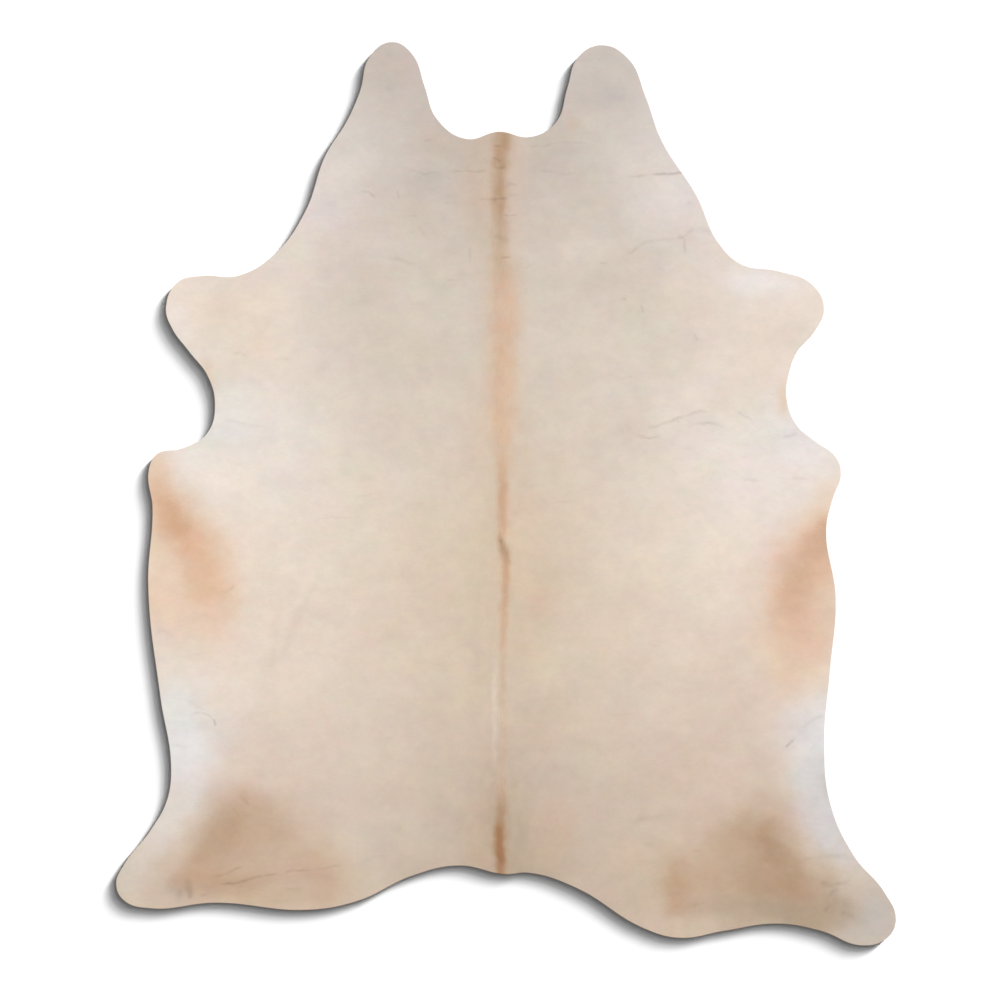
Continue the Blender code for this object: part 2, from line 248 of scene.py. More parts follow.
    ("armpit, left, blot", 0.01, 0.0003, 0.05, ((-0.71, 1.138), (-0.706, 1.136))),
    ("ribs, left, long line", 0.0028, 0.0003, 0.05, ((-0.46, 0.902), (-0.41, 0.903), (-0.362, 0.901))),
    ("ribs, left, dot", 0.0034, 0.0003, 0.1, ((-0.394, 1.016), (-0.39, 1.015))),
    ("loin, left, dash", 0.0028, 0.0003, 0.08, ((-0.278, 0.821), (-0.258, 0.821))),
    ("flank, left, dash", 0.0028, 0.0003, 0.06, ((-0.392, 0.694), (-0.349, 0.694))),
    ("spine, knot", 0.004, 0.0006, 0.32, ((-0.001, 0.848), (0.003, 0.836))),
)
CREASE_END = 0.18

# The colours that the coat is painted with.
# Columns: setting, where the colour is used, and its red, green and blue of 255
PIGMENTS = (
    ("white", "Cool white of the belly", 230, 227, 225),
    ("cool_white", "Grey white above the right hind leg", 214, 208, 207),
    ("pale", "Pale cream of the legs", 239, 225, 212),
    ("pink_white", "Pinkish white of the right shoulder", 241, 232, 229),
    ("pink_pale", "Pinkish cream at the sides of the neck", 228, 217, 212),
    ("warm_cream", "Yellowish cream of the shoulders", 229, 208, 188),
    ("straw", "Straw tone at the left edge", 234, 208, 182),
    ("peach", "Halo round the flank stains", 229, 196, 169),
    ("tan", "Core of the left flank's stain", 220, 174, 140),
    ("dull_tan", "Core of the right flank's stain", 214, 175, 147),
    ("light_brown", "Paler parts of the hind stains", 200, 170, 144),
    ("fawn", "Halo round the hind stains", 203, 177, 155),
    ("brown", "Core of the left hind stain", 190, 158, 130),
    ("dark_brown", "Core of the right hind stain", 181, 150, 122),
    ("grey", "Grey marks at the hocks", 174, 158, 142),
    ("cool_grey", "Bluish grey marks on the neck", 186, 180, 177),
    ("foot", "Tone of the left hind foot", 213, 202, 187),
    ("cool_foot", "Greyish tone of the right hind foot", 196, 186, 178),
    ("spine_halo", "Pinkish halo beside the spine", 214, 192, 175),
    ("spine_tan", "Spine from the neck to the withers", 183, 152, 123),
    ("spine_peach", "Spine over the shoulders", 217, 184, 156),
    ("spine_line", "Narrow line over the loin", 205, 167, 137),
    ("tail_brown", "Spine at the tail", 162, 118, 83),
    ("spine_light", "Light line left of the spine", 228, 211, 193),
    # The crease tint is painted shade: it dims the coat in the creases, and also darkens the small marks
    ("crease", "What the coat is dimmed by in a deep crease", 132, 124, 116),
    ("shade", "Soft shade beside a fold", 200, 180, 160),
    ("cool_cream", "Pale rim of the left hind leg", 224, 214, 206),
    # Where it runs along the lower rim, this tone also stands for painted shade
    ("umber", "Lower edge of the right hind stain", 177, 155, 132),
    ("sand", "Warmer tone of the right haunch", 214, 192, 175),
    ("light_cream", "Lighter clouds on the shoulders and the ribs", 230, 218, 206),
    # Also made darker to stand for painted shade along the lower rim
    ("straw_brown", "Yellowish strip under the left hind stain", 200, 174, 145),
    ("spine_glow", "Warmer ground on both sides of the spine", 213, 189, 165),
    ("tail_halo", "Halo round the tail", 187, 156, 127),
)

# The ground tones of the coat, from the neck to the rump. Columns as above
GROUND_TONES = (
    ("flaps", "Neck flaps, inner side", 204, 193, 184),
    ("flaps_edge", "Neck flaps, outer side", 206, 196, 187),
    ("neck", "Neck beside the spine", 203, 190, 178),
    ("neck_edge", "Sides of the neck", 222, 212, 204),
    ("withers", "Withers beside the spine", 214, 201, 187),
    ("withers_edge", "Forelegs", 232, 217, 204),
    ("ribs", "Ribs beside the spine", 218, 203, 188),
    ("ribs_edge", "Ribs at the edges", 232, 221, 211),
    ("loin", "Loin beside the spine", 218, 199, 177),
    ("loin_edge", "Flanks round their stains", 235, 219, 205),
    ("haunch", "Haunch beside the spine", 215, 197, 177),
    ("haunch_edge", "Haunch at the edges", 230, 212, 197),
    ("croup", "Croup beside the spine", 207, 188, 170),
    ("croup_edge", "Croup at the edges", 219, 200, 184),
    ("rump", "Rump beside the tail", 198, 180, 161),
    ("rump_edge", "Rump at the edges", 210, 189, 169),
)

# The ground colour of the coat, blended from section to section and from the spine outwards.
# Columns: section, along, tone beside the spine, tone at the edges, and the distances from
# the spine at which the one starts to turn and has turned into the other
GROUND = (
    ("neck flaps", 2.06, "flaps", "flaps_edge", 0.15, 0.45),
    ("neck", 1.8, "neck", "neck_edge", 0.14, 0.42),
    ("withers", 1.45, "withers", "withers_edge", 0.28, 0.66),
    ("ribs", 1.12, "ribs", "ribs_edge", 0.26, 0.58),
    ("loin", 0.8, "loin", "loin_edge", 0.05, 0.62),
    ("haunch", 0.49, "haunch", "haunch_edge", 0.1, 0.62),
    ("croup", 0.25, "croup", "croup_edge", 0.1, 0.6),
    ("rump", 0.0, "rump", "rump_edge", 0.08, 0.5),
)

# The stains that are round or oval.
# Columns: stain, pigment, side, along, half breadth, half length, turn, strength
STAINS = (
    ("right haunch, warm", "sand", 0.562, 0.391, 0.16, 0.26, 0, 0.55),
    ("withers, right, light", "light_cream", 0.202, 1.58, 0.08, 0.042, 0, 0.5),
    ("neck, right, light", "light_cream", 0.215, 1.67, 0.11, 0.08, 0, 0.16),
    ("shoulders, right, light", "light_cream", 0.21, 1.352, 0.18, 0.06, 0, 0.35),
    ("ribs, right, light", "light_cream", 0.304, 1.238, 0.075, 0.062, 0, 0.3),
    ("ribs, right, lower light", "light_cream", 0.31, 1.0, 0.12, 0.1, 0, 0.28),
    ("ribs, left, light", "light_cream", -0.253, 0.998, 0.075, 0.085, 0, 0.35),
    ("ribs, left, upper light", "light_cream", -0.37, 1.16, 0.12, 0.07, 0, 0.18),
    ("ribs, left, warm", "warm_cream", -0.64, 1.3, 0.11, 0.08, 0, 0.28),
    ("loin, left, light", "light_cream", -0.38, 0.85, 0.14, 0.12, 0, 0.22),
    ("haunch, left, light", "light_cream", -0.3, 0.37, 0.12, 0.13, 0, 0.18),
    ("rump, left, light", "light_cream", -0.32, 0.09, 0.13, 0.1, 0, 0.22),
    ("haunch, right, dull", "fawn", 0.45, 0.27, 0.11, 0.09, 0, 0.26),
    ("neck, left, dull", "cool_grey", -0.4, 1.69, 0.06, 0.09, -16, 0.12),
    ("left flank, pale above", "pale", -0.71, 1.0, 0.11, 0.09, 0, 0.8),
    ("left flank, edge", "straw", -0.865, 0.73, 0.05, 0.11, 4, 0.65),
    ("left flank, edge, low", "peach", -0.86, 0.67, 0.045, 0.06, 0, 0.28),
    ("left flank, grey below", "cool_cream", -0.865, 0.608, 0.045, 0.03, 0, 0.35),
    ("left belly, white", "white", -0.8, 0.33, 0.092, 0.15, 4, 0.97),
    ("left belly, white, upper", "white", -0.82, 0.44, 0.062, 0.07, 10, 0.6),
    ("left belly, white, low", "white", -0.795, 0.19, 0.075, 0.08, -20, 0.6),
    ("right belly, white", "white", 0.806, 0.345, 0.086, 0.14, -6, 0.95),
    ("right belly, white, upper", "white", 0.812, 0.45, 0.055, 0.07, 0, 0.35),
    ("right belly, white, low", "cool_white", 0.824, 0.19, 0.07, 0.11, 12, 0.95),
    ("left hind, halo", "fawn", -0.63, 0.075, 0.152, 0.125, 0, 0.7),
    ("left hind, above the stain", "fawn", -0.708, 0.205, 0.035, 0.045, 0, 0.28),
    ("left hind, halo, low", "fawn", -0.468, 0.006, 0.085, 0.065, 0, 0.6),
    ("left hind, filling", "brown", -0.665, 0.105, 0.095, 0.085, 0, 0.62),
    ("right hind, halo", "fawn", 0.62, 0.016, 0.235, 0.135, 0, 0.85),
    ("right hind, apex", "fawn", 0.672, 0.165, 0.075, 0.07, 0, 0.62),
    ("right hind, filling", "dark_brown", 0.615, 0.005, 0.125, 0.08, 0, 0.38),
    ("right hind, heart", "dark_brown", 0.66, -0.03, 0.078, 0.058, 0, 0.72),
    ("right hind, between the stains", "brown", 0.506, -0.038, 0.045, 0.045, 0, 0.38),
    ("right hind, shoulder", "brown", 0.592, 0.078, 0.07, 0.05, -30, 0.52),
    ("right hind, wrinkled patch", "umber", 0.812, -0.036, 0.066, 0.05, 0, 0.48),
    ("left foreleg, pale", "pale", -0.81, 1.44, 0.08, 0.11, 0, 0.7),
    ("left foreleg, grey", "cool_grey", -0.703, 1.428, 0.024, 0.02, 0, 0.14),
    ("left bay, orange", "peach", -0.736, 1.262, 0.016, 0.05, 14, 0.45),
    ("left foreleg, peach", "warm_cream", -0.69, 1.425, 0.11, 0.06, 0, 0.55),
    ("right foreleg, pale", "pale", 0.79, 1.44, 0.075, 0.09, 0, 0.6),
    ("right foreleg, pink", "pink_white", 0.645, 1.497, 0.07, 0.036, -8, 0.85),
    ("right foreleg, peach", "warm_cream", 0.67, 1.335, 0.13, 0.075, 0, 0.38),
    ("left armpit", "white", -0.694, 1.142, 0.078, 0.078, 0, 0.54),
    ("right armpit", "white", 0.75, 1.1, 0.09, 0.06, -30, 0.6),
    ("right armpit, pink", "pink_white", 0.765, 1.064, 0.055, 0.042, 0, 0.5),
    ("right bay, orange", "peach", 0.714, 1.205, 0.018, 0.038, 0, 0.6),
    ("right bay, pale", "pale", 0.708, 1.305, 0.04, 0.035, 0, 0.6),
    ("left belly tip, warm", "peach", -0.872, 1.02, 0.045, 0.045, 0, 0.55),
    ("right belly tip, pale", "pale", 0.84, 1.02, 0.07, 0.06, 0, 0.6),
    ("right ribs, pale", "pink_white", 0.65, 1.02, 0.11, 0.1, 0, 0.28),
    ("neck, left, pale", "pink_pale", -0.43, 1.69, 0.055, 0.1, -16, 0.5),
    ("neck, right, pale", "pink_pale", 0.44, 1.725, 0.065, 0.085, 20, 0.75),
    ("neck, right, low", "pink_pale", 0.47, 1.65, 0.06, 0.06, 20, 0.36),
    ("right flap, grey", "cool_grey", 0.275, 1.972, 0.055, 0.026, 0, 0.45),
    ("right flap, mark", "fawn", 0.182, 1.896, 0.012, 0.022, 0, 0.55),
    ("left flap, spot", "cool_grey", -0.273, 1.99, 0.008, 0.007, 0, 0.5),
    ("left foot", "foot", -0.945, 0.0, 0.08, 0.08, 0, 0.85),
    ("left foot, low", "fawn", -0.87, -0.044, 0.05, 0.03, 0, 0.3),
    ("left hock, grey", "grey", -0.812, -0.022, 0.034, 0.032, 0, 0.48),
    ("left hock, low", "light_brown", -0.757, -0.062, 0.04, 0.022, 0, 0.35),
    ("right foot", "cool_foot", 0.95, -0.1, 0.075, 0.085, 0, 0.9),
    ("right foot, upper", "cool_cream", 0.88, -0.01, 0.046, 0.034, -30, 0.34),
    ("left flap, dull", "umber", -0.285, 2.04, 0.085, 0.065, 0, 0.17),
    ("right flank, edge, low", "fawn", 0.82, 0.6, 0.04, 0.06, 0, 0.45),
    ("neck, left, dun", "umber", -0.15, 1.858, 0.05, 0.032, 0, 0.16),
    ("right foot, low", "cool_foot", 0.885, -0.15, 0.064, 0.03, -20, 0.55),
    ("right flap, inner light", "light_cream", 0.205, 1.915, 0.04, 0.03, 0, 0.22),
    ("withers, left, light", "light_cream", -0.24, 1.582, 0.07, 0.055, 0, 0.38),
    ("withers, light", "light_cream", 0.09, 1.552, 0.05, 0.045, 0, 0.28),
    ("shoulder, left, dun", "fawn", -0.43, 1.606, 0.06, 0.032, 0, 0.2),
    ("shoulder, right, dun", "fawn", 0.455, 1.605, 0.032, 0.03, 0, 0.16),
    ("right foreleg, cool", "pink_white", 0.715, 1.5, 0.045, 0.028, 0, 0.45),
    ("left foreleg, tip", "pink_white", -0.815, 1.41, 0.04, 0.045, 0, 0.4),
    ("ribs, right, warm", "warm_cream", 0.59, 1.225, 0.075, 0.055, 0, 0.45),
    ("left belly tip, pale", "pink_white", -0.775, 1.05, 0.052, 0.032, 0, 0.42),
    ("right belly tip, pink", "pink_white", 0.808, 1.05, 0.05, 0.036, 0, 0.45),
    ("loin, right, dun", "light_brown", 0.096, 0.7, 0.038, 0.058, 0, 0.42),
    ("loin, right, light", "light_cream", 0.28, 0.85, 0.09, 0.06, 0, 0.18),
    ("haunch, right, dun", "light_brown", 0.101, 0.392, 0.055, 0.06, 0, 0.18),
    ("haunch, left, outer light", "light_cream", -0.354, 0.442, 0.08, 0.07, 0, 0.14),
    ("left belly, pale, upper", "pale", -0.81, 0.53, 0.055, 0.05, 0, 0.45),
    ("left belly, pale, inner", "pale", -0.65, 0.445, 0.09, 0.045, 0, 0.4),
    ("right belly, dull", "cool_white", 0.762, 0.365, 0.045, 0.052, 0, 0.45),
    ("right belly, inner", "white", 0.78, 0.262, 0.038, 0.042, 0, 0.36),
    ("rump, right of the tail", "light_brown", 0.134, 0.105, 0.062, 0.085, 0, 0.46),
    ("rump, left, low light", "light_cream", -0.304, -0.01, 0.05, 0.028, 0, 0.22),
    ("haunch, left, upper light", "light_cream", -0.405, 0.64, 0.042, 0.045, 0, 0.38),
    ("ribs, right, dun", "light_brown", 0.15, 1.045, 0.036, 0.036, 0, 0.14),
    ("ribs, right, middle light", "pale", 0.405, 1.15, 0.04, 0.08, 0, 0.28),
    ("left foreleg, inner pale", "pale", -0.708, 1.33, 0.032, 0.045, 0, 0.42),
    ("shoulder, left, warm", "peach", -0.607, 1.352, 0.034, 0.034, 0, 0.2),
    ("shoulder, left, low dun", "fawn", -0.304, 1.48, 0.036, 0.045, 0, 0.17),
    ("neck, right, inner light", "pink_pale", 0.304, 1.75, 0.042, 0.036, 0, 0.28),
    ("rump, right of the tail, low", "umber", 0.128, 0.01, 0.036, 0.03, 0, 0.22),
    ("right hind, below the stain", "umber", 0.605, -0.14, 0.062, 0.032, 0, 0.42),
    ("shoulder, right, light", "pink_pale", 0.365, 1.675, 0.055, 0.062, 0, 0.36),
)

# The stains that run along a line, as soft strokes of colour.
# Columns: stroke, pigment, stations (side, along, half width, strength)
STROKES = (
    ("left flank, halo", "peach",
     ((-0.885, 1.04, 0.04, 0.3), (-0.862, 0.972, 0.056, 0.58), (-0.824, 0.885, 0.074, 0.78),
      (-0.77, 0.79, 0.1, 0.75), (-0.755, 0.69, 0.108, 0.6), (-0.765, 0.6, 0.096, 0.32),
      (-0.78, 0.53, 0.08, 0.0))),
    ("left flank, right shoulder", "peach",
     ((-0.784, 0.935, 0.036, 0.25), (-0.759, 0.877, 0.036, 0.5), (-0.724, 0.82, 0.04, 0.52),
      (-0.695, 0.75, 0.05, 0.42), (-0.68, 0.68, 0.055, 0.34), (-0.675, 0.62, 0.05, 0.1))),
    ("left flank, edge side", "tan",
     ((-0.872, 0.975, 0.03, 0.2), (-0.865, 0.925, 0.032, 0.45), (-0.862, 0.875, 0.032, 0.3),
      (-0.855, 0.83, 0.034, 0.08), (-0.85, 0.79, 0.034, 0.0))),
    ("left flank, ridge", "tan",
     ((-0.852, 0.985, 0.032, 0.34), (-0.838, 0.935, 0.036, 0.76), (-0.82, 0.892, 0.038, 0.95),
      (-0.792, 0.848, 0.038, 0.72), (-0.77, 0.8, 0.04, 0.64), (-0.755, 0.755, 0.046, 0.62),
      (-0.745, 0.71, 0.048, 0.46), (-0.752, 0.67, 0.05, 0.2))),
    ("left flank, core", "brown",
     ((-0.834, 0.925, 0.02, 0.1), (-0.812, 0.894, 0.024, 0.24), (-0.797, 0.856, 0.022, 0.12))),
    ("right flank, halo", "peach",
     ((0.835, 0.975, 0.026, 0.3), (0.822, 0.925, 0.036, 0.62), (0.788, 0.846, 0.08, 0.82),
      (0.754, 0.75, 0.104, 0.88), (0.748, 0.644, 0.108, 0.82), (0.75, 0.56, 0.108, 0.68),
      (0.742, 0.49, 0.1, 0.5), (0.735, 0.42, 0.09, 0.0))),
    ("right flank, ridge", "dull_tan",
     ((0.824, 0.882, 0.026, 0.72), (0.806, 0.85, 0.036, 0.95), (0.776, 0.804, 0.044, 0.84),
      (0.75, 0.75, 0.05, 0.84), (0.744, 0.69, 0.056, 0.72), (0.738, 0.63, 0.06, 0.54),
      (0.754, 0.56, 0.06, 0.28), (0.756, 0.51, 0.06, 0.1))),
    ("right flank, at the edge", "dull_tan",
     ((0.822, 0.872, 0.03, 0.9), (0.826, 0.8, 0.032, 0.72), (0.828, 0.73, 0.036, 0.28),
      (0.826, 0.64, 0.04, 0.1), (0.824, 0.58, 0.036, 0.04), (0.824, 0.54, 0.03, 0.0))),
    ("right flank, core", "brown",
     ((0.824, 0.9, 0.018, 0.0), (0.818, 0.862, 0.024, 0.22), (0.808, 0.83, 0.024, 0.22),
      (0.79, 0.795, 0.02, 0.0))),
    ("right flank, pale edge", "cool_cream",
     ((0.842, 0.66, 0.016, 0.0), (0.842, 0.6, 0.018, 0.2), (0.838, 0.54, 0.022, 0.26),
      (0.834, 0.48, 0.022, 0.18), (0.832, 0.44, 0.022, 0.0))),
    # Painted light and painted shade of the slanting fold on the left flank: a lighter band beside darker
    # ones
    ("left flank, slant, light", "pale",
     ((-0.471, 0.765, 0.01, 0.2), (-0.509, 0.7, 0.012, 0.32), (-0.534, 0.657, 0.012, 0.32),
      (-0.567, 0.581, 0.01, 0.15))),
    ("left flank, slant, dark", "shade",
     ((-0.453, 0.783, 0.01, 0.1), (-0.481, 0.72, 0.012, 0.18), (-0.514, 0.651, 0.012, 0.2),
      (-0.536, 0.598, 0.012, 0.2), (-0.557, 0.543, 0.01, 0.08))),
    ("left flank, second slant", "shade",
     ((-0.554, 0.694, 0.007, 0.08), (-0.567, 0.644, 0.008, 0.14), (-0.577, 0.53, 0.008, 0.12))),
    ("left hind, concave edge", "cool_cream",
     ((-0.812, 0.214, 0.032, 0.6), (-0.836, 0.151, 0.036, 0.78), (-0.864, 0.092, 0.04, 0.78),
      (-0.905, 0.046, 0.032, 0.5))),
    ("left hind, left limb", "brown",
     ((-0.65, 0.19, 0.032, 0.36), (-0.668, 0.15, 0.038, 0.68), (-0.688, 0.108, 0.041, 0.82),
      (-0.72, 0.07, 0.038, 0.76), (-0.758, 0.036, 0.036, 0.8), (-0.784, 0.004, 0.034, 0.48))),
    ("left hind, right limb", "light_brown",
     ((-0.64, 0.198, 0.034, 0.5), (-0.592, 0.152, 0.035, 0.82), (-0.56, 0.102, 0.036, 0.68),
      (-0.526, 0.062, 0.034, 0.25))),
    ("left hind, foot of the stain", "light_brown",
     ((-0.776, 0.016, 0.038, 0.5), (-0.721, 0.0, 0.04, 0.62), (-0.633, -0.002, 0.038, 0.5),
      (-0.531, 0.0, 0.036, 0.42), (-0.46, 0.018, 0.046, 0.72), (-0.436, -0.027, 0.04, 0.64))),
    ("left hind, low brown", "brown",
     ((-0.795, -0.016, 0.028, 0.38), (-0.758, -0.018, 0.03, 0.74), (-0.729, -0.024, 0.032, 0.76),
      (-0.663, -0.024, 0.032, 0.68), (-0.6, -0.022, 0.026, 0.25))),
    # A yellowish strip of the coat, made darker for shade along the lower rim: partly painted shade
    ("left hind, yellow strip", "straw_brown",
     ((-0.7, -0.052, 0.018, 0.45), (-0.61, -0.056, 0.022, 0.66), (-0.52, -0.056, 0.02, 0.4),
      (-0.455, -0.066, 0.022, 0.36))),
    ("right hind, concave edge", "cool_white",
     ((0.795, 0.25, 0.05, 0.7), (0.812, 0.15, 0.056, 0.88), (0.838, 0.085, 0.05, 0.88),
      (0.872, 0.05, 0.034, 0.66), (0.905, 0.022, 0.026, 0.5), (0.935, -0.01, 0.02, 0.2))),
    ("right hind, ridge", "dark_brown",
     ((0.618, 0.126, 0.042, 0.55), (0.66, 0.104, 0.048, 0.9), (0.694, 0.056, 0.048, 1.0),
      (0.718, 0.022, 0.042, 0.85), (0.736, -0.014, 0.05, 0.98), (0.75, -0.054, 0.054, 0.92),
      (0.772, -0.085, 0.052, 0.6))),
    ("right hind, light at the hock", "cool_cream",
     ((0.76, 0.225, 0.028, 0.0), (0.764, 0.188, 0.03, 0.36), (0.78, 0.11, 0.03, 0.08),
      (0.786, 0.055, 0.034, 0.22), (0.792, 0.02, 0.032, 0.16), (0.795, -0.01, 0.03, 0.0))),
    ("right hind, left blob", "brown",
     ((0.49, 0.04, 0.04, 0.16), (0.452, 0.012, 0.042, 0.56), (0.442, -0.028, 0.048, 0.9),
      (0.448, -0.072, 0.044, 0.85))),
    # Partly the stain's own darker edge, and partly shade painted along the lower rim
    ("right hind, lower edge", "umber",
     ((0.5, -0.088, 0.026, 0.4), (0.595, -0.085, 0.034, 0.55), (0.67, -0.09, 0.038, 0.75),
      (0.759, -0.108, 0.046, 0.92), (0.83, -0.106, 0.044, 0.8), (0.88, -0.094, 0.034, 0.55))),
)

# The darker hair along the spine, in strokes with ragged edges. Columns as above
SPINE_STROKES = (
    ("both sides, glow", "spine_glow",
     ((-0.02, 1.89, 0.05, 0.1), (-0.022, 1.78, 0.055, 0.16), (-0.022, 1.68, 0.055, 0.22),
      (-0.008, 1.58, 0.052, 0.3), (0.0, 1.45, 0.05, 0.22), (0.0, 1.3, 0.06, 0.32),
      (-0.01, 1.18, 0.08, 0.68), (-0.004, 1.09, 0.09, 0.62), (0.01, 1.0, 0.095, 0.36),
      (0.02, 0.93, 0.095, 0.5), (0.026, 0.8, 0.095, 0.6), (0.02, 0.64, 0.095, 0.5),
      (0.004, 0.48, 0.085, 0.3), (0.0, 0.33, 0.08, 0.2))),
    ("left of the mane", "light_brown",
     ((-0.05, 1.89, 0.05, 0.3), (-0.055, 1.78, 0.055, 0.32), (-0.05, 1.69, 0.05, 0.3),
      (-0.045, 1.6, 0.045, 0.12), (-0.045, 1.56, 0.045, 0.0))),
    ("right of the mane", "spine_halo",
     ((0.02, 1.88, 0.04, 0.9), (0.016, 1.78, 0.042, 0.85), (0.014, 1.681, 0.04, 0.7),
      (0.012, 1.593, 0.04, 0.55), (0.01, 1.491, 0.05, 0.35), (0.01, 1.43, 0.05, 0.0))),
    ("round the tail", "umber",
     ((0.0, 0.38, 0.06, 0.0), (0.002, 0.28, 0.07, 0.2), (0.004, 0.2, 0.08, 0.36),
      (0.012, 0.13, 0.085, 0.5), (0.016, 0.06, 0.085, 0.5), (0.022, 0.0, 0.085, 0.5))),
    ("loin, left shade", "shade",
     ((-0.056, 0.72, 0.01, 0.0), (-0.056, 0.669, 0.01, 0.28), (-0.058, 0.568, 0.01, 0.26),
      (-0.056, 0.48, 0.01, 0.12), (-0.056, 0.3, 0.012, 0.1), (-0.056, 0.25, 0.012, 0.0))),
    ("shoulders", "spine_peach",
     ((0.006, 1.61, 0.032, 0.0), (0.008, 1.567, 0.035, 0.35), (0.008, 1.491, 0.038, 0.85),
      (0.01, 1.403, 0.04, 0.95), (0.005, 1.352, 0.036, 0.9), (0.008, 1.251, 0.034, 0.95),
      (0.003, 1.163, 0.032, 0.95), (0.003, 1.125, 0.028, 0.85), (0.007, 1.074, 0.02, 0.8),
      (0.006, 1.023, 0.018, 0.7), (0.007, 0.922, 0.018, 0.5), (0.008, 0.79, 0.018, 0.3),
      (0.008, 0.7, 0.018, 0.0))),
    ("mane", "spine_tan",
     ((0.006, 1.885, 0.024, 0.9), (0.004, 1.846, 0.024, 0.98), (0.0, 1.8, 0.023, 0.94),
      (-0.003, 1.77, 0.022, 0.8), (-0.002, 1.732, 0.022, 0.84), (-0.002, 1.694, 0.021, 0.84),
      (-0.003, 1.656, 0.021, 0.62), (-0.002, 1.61, 0.021, 0.62), (-0.001, 1.58, 0.02, 0.42),
      (0.001, 1.542, 0.02, 0.38), (0.001, 1.491, 0.02, 0.08), (0.001, 1.46, 0.018, 0.0))),
    ("loin", "spine_line",
     ((0.005, 1.074, 0.011, 0.0), (0.005, 1.023, 0.012, 0.55), (0.007, 0.973, 0.013, 0.9),
      (0.005, 0.922, 0.012, 0.75), (0.005, 0.872, 0.01, 0.75), (0.003, 0.844, 0.009, 0.9),
      (0.011, 0.821, 0.011, 1.0), (0.014, 0.77, 0.01, 0.9), (0.012, 0.72, 0.011, 0.95),
      (0.008, 0.669, 0.01, 0.8), (0.007, 0.619, 0.009, 0.65), (0.006, 0.568, 0.008, 0.45),
      (0.005, 0.467, 0.008, 0.35), (0.009, 0.416, 0.009, 0.26), (0.008, 0.315, 0.01, 0.2),
      (0.003, 0.264, 0.014, 0.28), (0.002, 0.214, 0.013, 0.4), (0.001, 0.18, 0.012, 0.0))),
    ("loin, darker knot", "spine_tan",
     ((0.004, 0.872, 0.008, 0.0), (0.003, 0.846, 0.01, 0.65), (0.009, 0.818, 0.01, 0.8),
      (0.011, 0.79, 0.009, 0.35), (0.011, 0.76, 0.009, 0.0))),
    ("left of the tail", "light_brown",
     ((-0.05, 0.2, 0.04, 0.0), (-0.055, 0.13, 0.045, 0.28), (-0.055, 0.05, 0.045, 0.32),
      (-0.05, 0.0, 0.045, 0.32))),
    ("loin, light ridge", "spine_light",
     ((-0.013, 0.593, 0.006, 0.0), (-0.013, 0.517, 0.007, 0.45), (-0.015, 0.467, 0.007, 0.78),
      (-0.015, 0.416, 0.007, 0.62), (-0.015, 0.366, 0.006, 0.42), (-0.015, 0.315, 0.006, 0.4),
      (-0.015, 0.27, 0.006, 0.0))),
    ("tail, halo", "tail_halo",
     ((0.0, 0.215, 0.018, 0.0), (0.002, 0.175, 0.019, 0.45), (0.0, 0.13, 0.02, 0.55),
      (0.0, 0.075, 0.021, 0.6), (0.002, 0.0, 0.02, 0.45))),
    ("tail", "tail_brown",
     ((0.003, 0.226, 0.01, 0.0), (0.003, 0.18, 0.011, 0.36), (0.0, 0.14, 0.012, 0.52),
      (-0.003, 0.113, 0.012, 1.02), (-0.003, 0.075, 0.012, 1.12), (0.001, 0.037, 0.011, 1.0),
      (0.002, 0.0, 0.01, 0.95))),
)

# Rims, from the hair side to the flesh side: distance inside the outline, share of the height
LEATHER_RIM = ((0.005, 1.0), (0.0014, 1.0), (0.0009, 0.8), (0.0008, 0.45), (0.0009, 0.15), (0.0014, 0.0),
               (0.005, 0.0))
COAT_RIM = ((0.005, 1.0), (0.0028, 0.99), (0.0014, 0.95), (0.0006, 0.86), (0.0001, 0.66), (0.0, 0.4),
            (0.0004, 0.14), (0.0014, 0.0), (0.005, 0.0))

# Smooth random values that keep the lines and the stains from running too evenly.
# Columns: waves in a metre, where the pattern starts, reach
WAVERS = {
    "crease line": (70.0, 7.7, 0.0016),
    "crease depth": (55.0, 3.9, 0.75),
    "stain, broad": (9.0, 3.1, 0.014),
    "stain, middle": (34.0, 8.7, 0.007),
    "stain, fine": (90.0, 4.4, 0.003),
    "spine, broad": (60.0, 6.3, 0.005),
    "spine, fine": (170.0, 2.9, 0.0022),
    "spine strength": (32.0, 9.2, 0.5),
    "lie of the hair": (7.0, 5.5, math.radians(22.0)),
    "coat, fine": (26.0, 1.3, 1.0),
    "coat, broad": (8.0, 2.2, 1.6),
}
# Of 180 seeds that were tried, this one came nearest to the photo's colours. Any other does nearly as well
WAVER_SEED = 82

# The same with finer and finer patches in them. Columns as above
PATCHES = {
    "stain edge": (16.0, 5.1, 0.16),
    "stroke strength": (38.0, 9.6, 0.22),
}
# How rough the patches are, how much finer each layer of them is, and the number of layers
PATCH_DETAIL = (0.7, 2.0, 4)

# Creases: their strength at the tips, and its least, usual and greatest value on the way
CREASE_TIP = 0.15
CREASE_EVENNESS = (0.25, 0.95, 1.5)

# How sharply strokes and ovals end
STROKE_EDGE = 2.4
OVAL_EDGE = 1.15

# How much the patterns of the spine's edges and of its strength are squeezed, across and along.
# The edges waver sideways only
LONG_RAGS = (0.25, 1.0)
SHORT_RAGS = (0.4, 1.0)
BROKEN_HAIR = (2.0, 1.0)
SIDEWAYS = (1.0, 0.0)

# The hair turns from the spine outwards, and has turned fully at this distance from it
LIE_TURN = math.radians(78.0)
LIE_TURNED_AT = 0.28

# Distances from its root at which a hair is tried, the farthest first. It ends where it comes this
# near the rim, or meets a crease whose painted shade is darker than this
HAIR_REACH = (0.03, 0.025, 0.02, 0.015, 0.01, 0.006, 0.003, 0.0)
RIM_CLEARANCE = 0.0004
CLEAR_CREASE = 0.05

# Rows of mesh points along each crease, and the step in them, in half widths of the crease
CREASE_LINES = (-2.0, -1.15, -0.5, 0.0, 0.5, 1.15, 2.0)
CREASE_LINE_STEP = 1.1

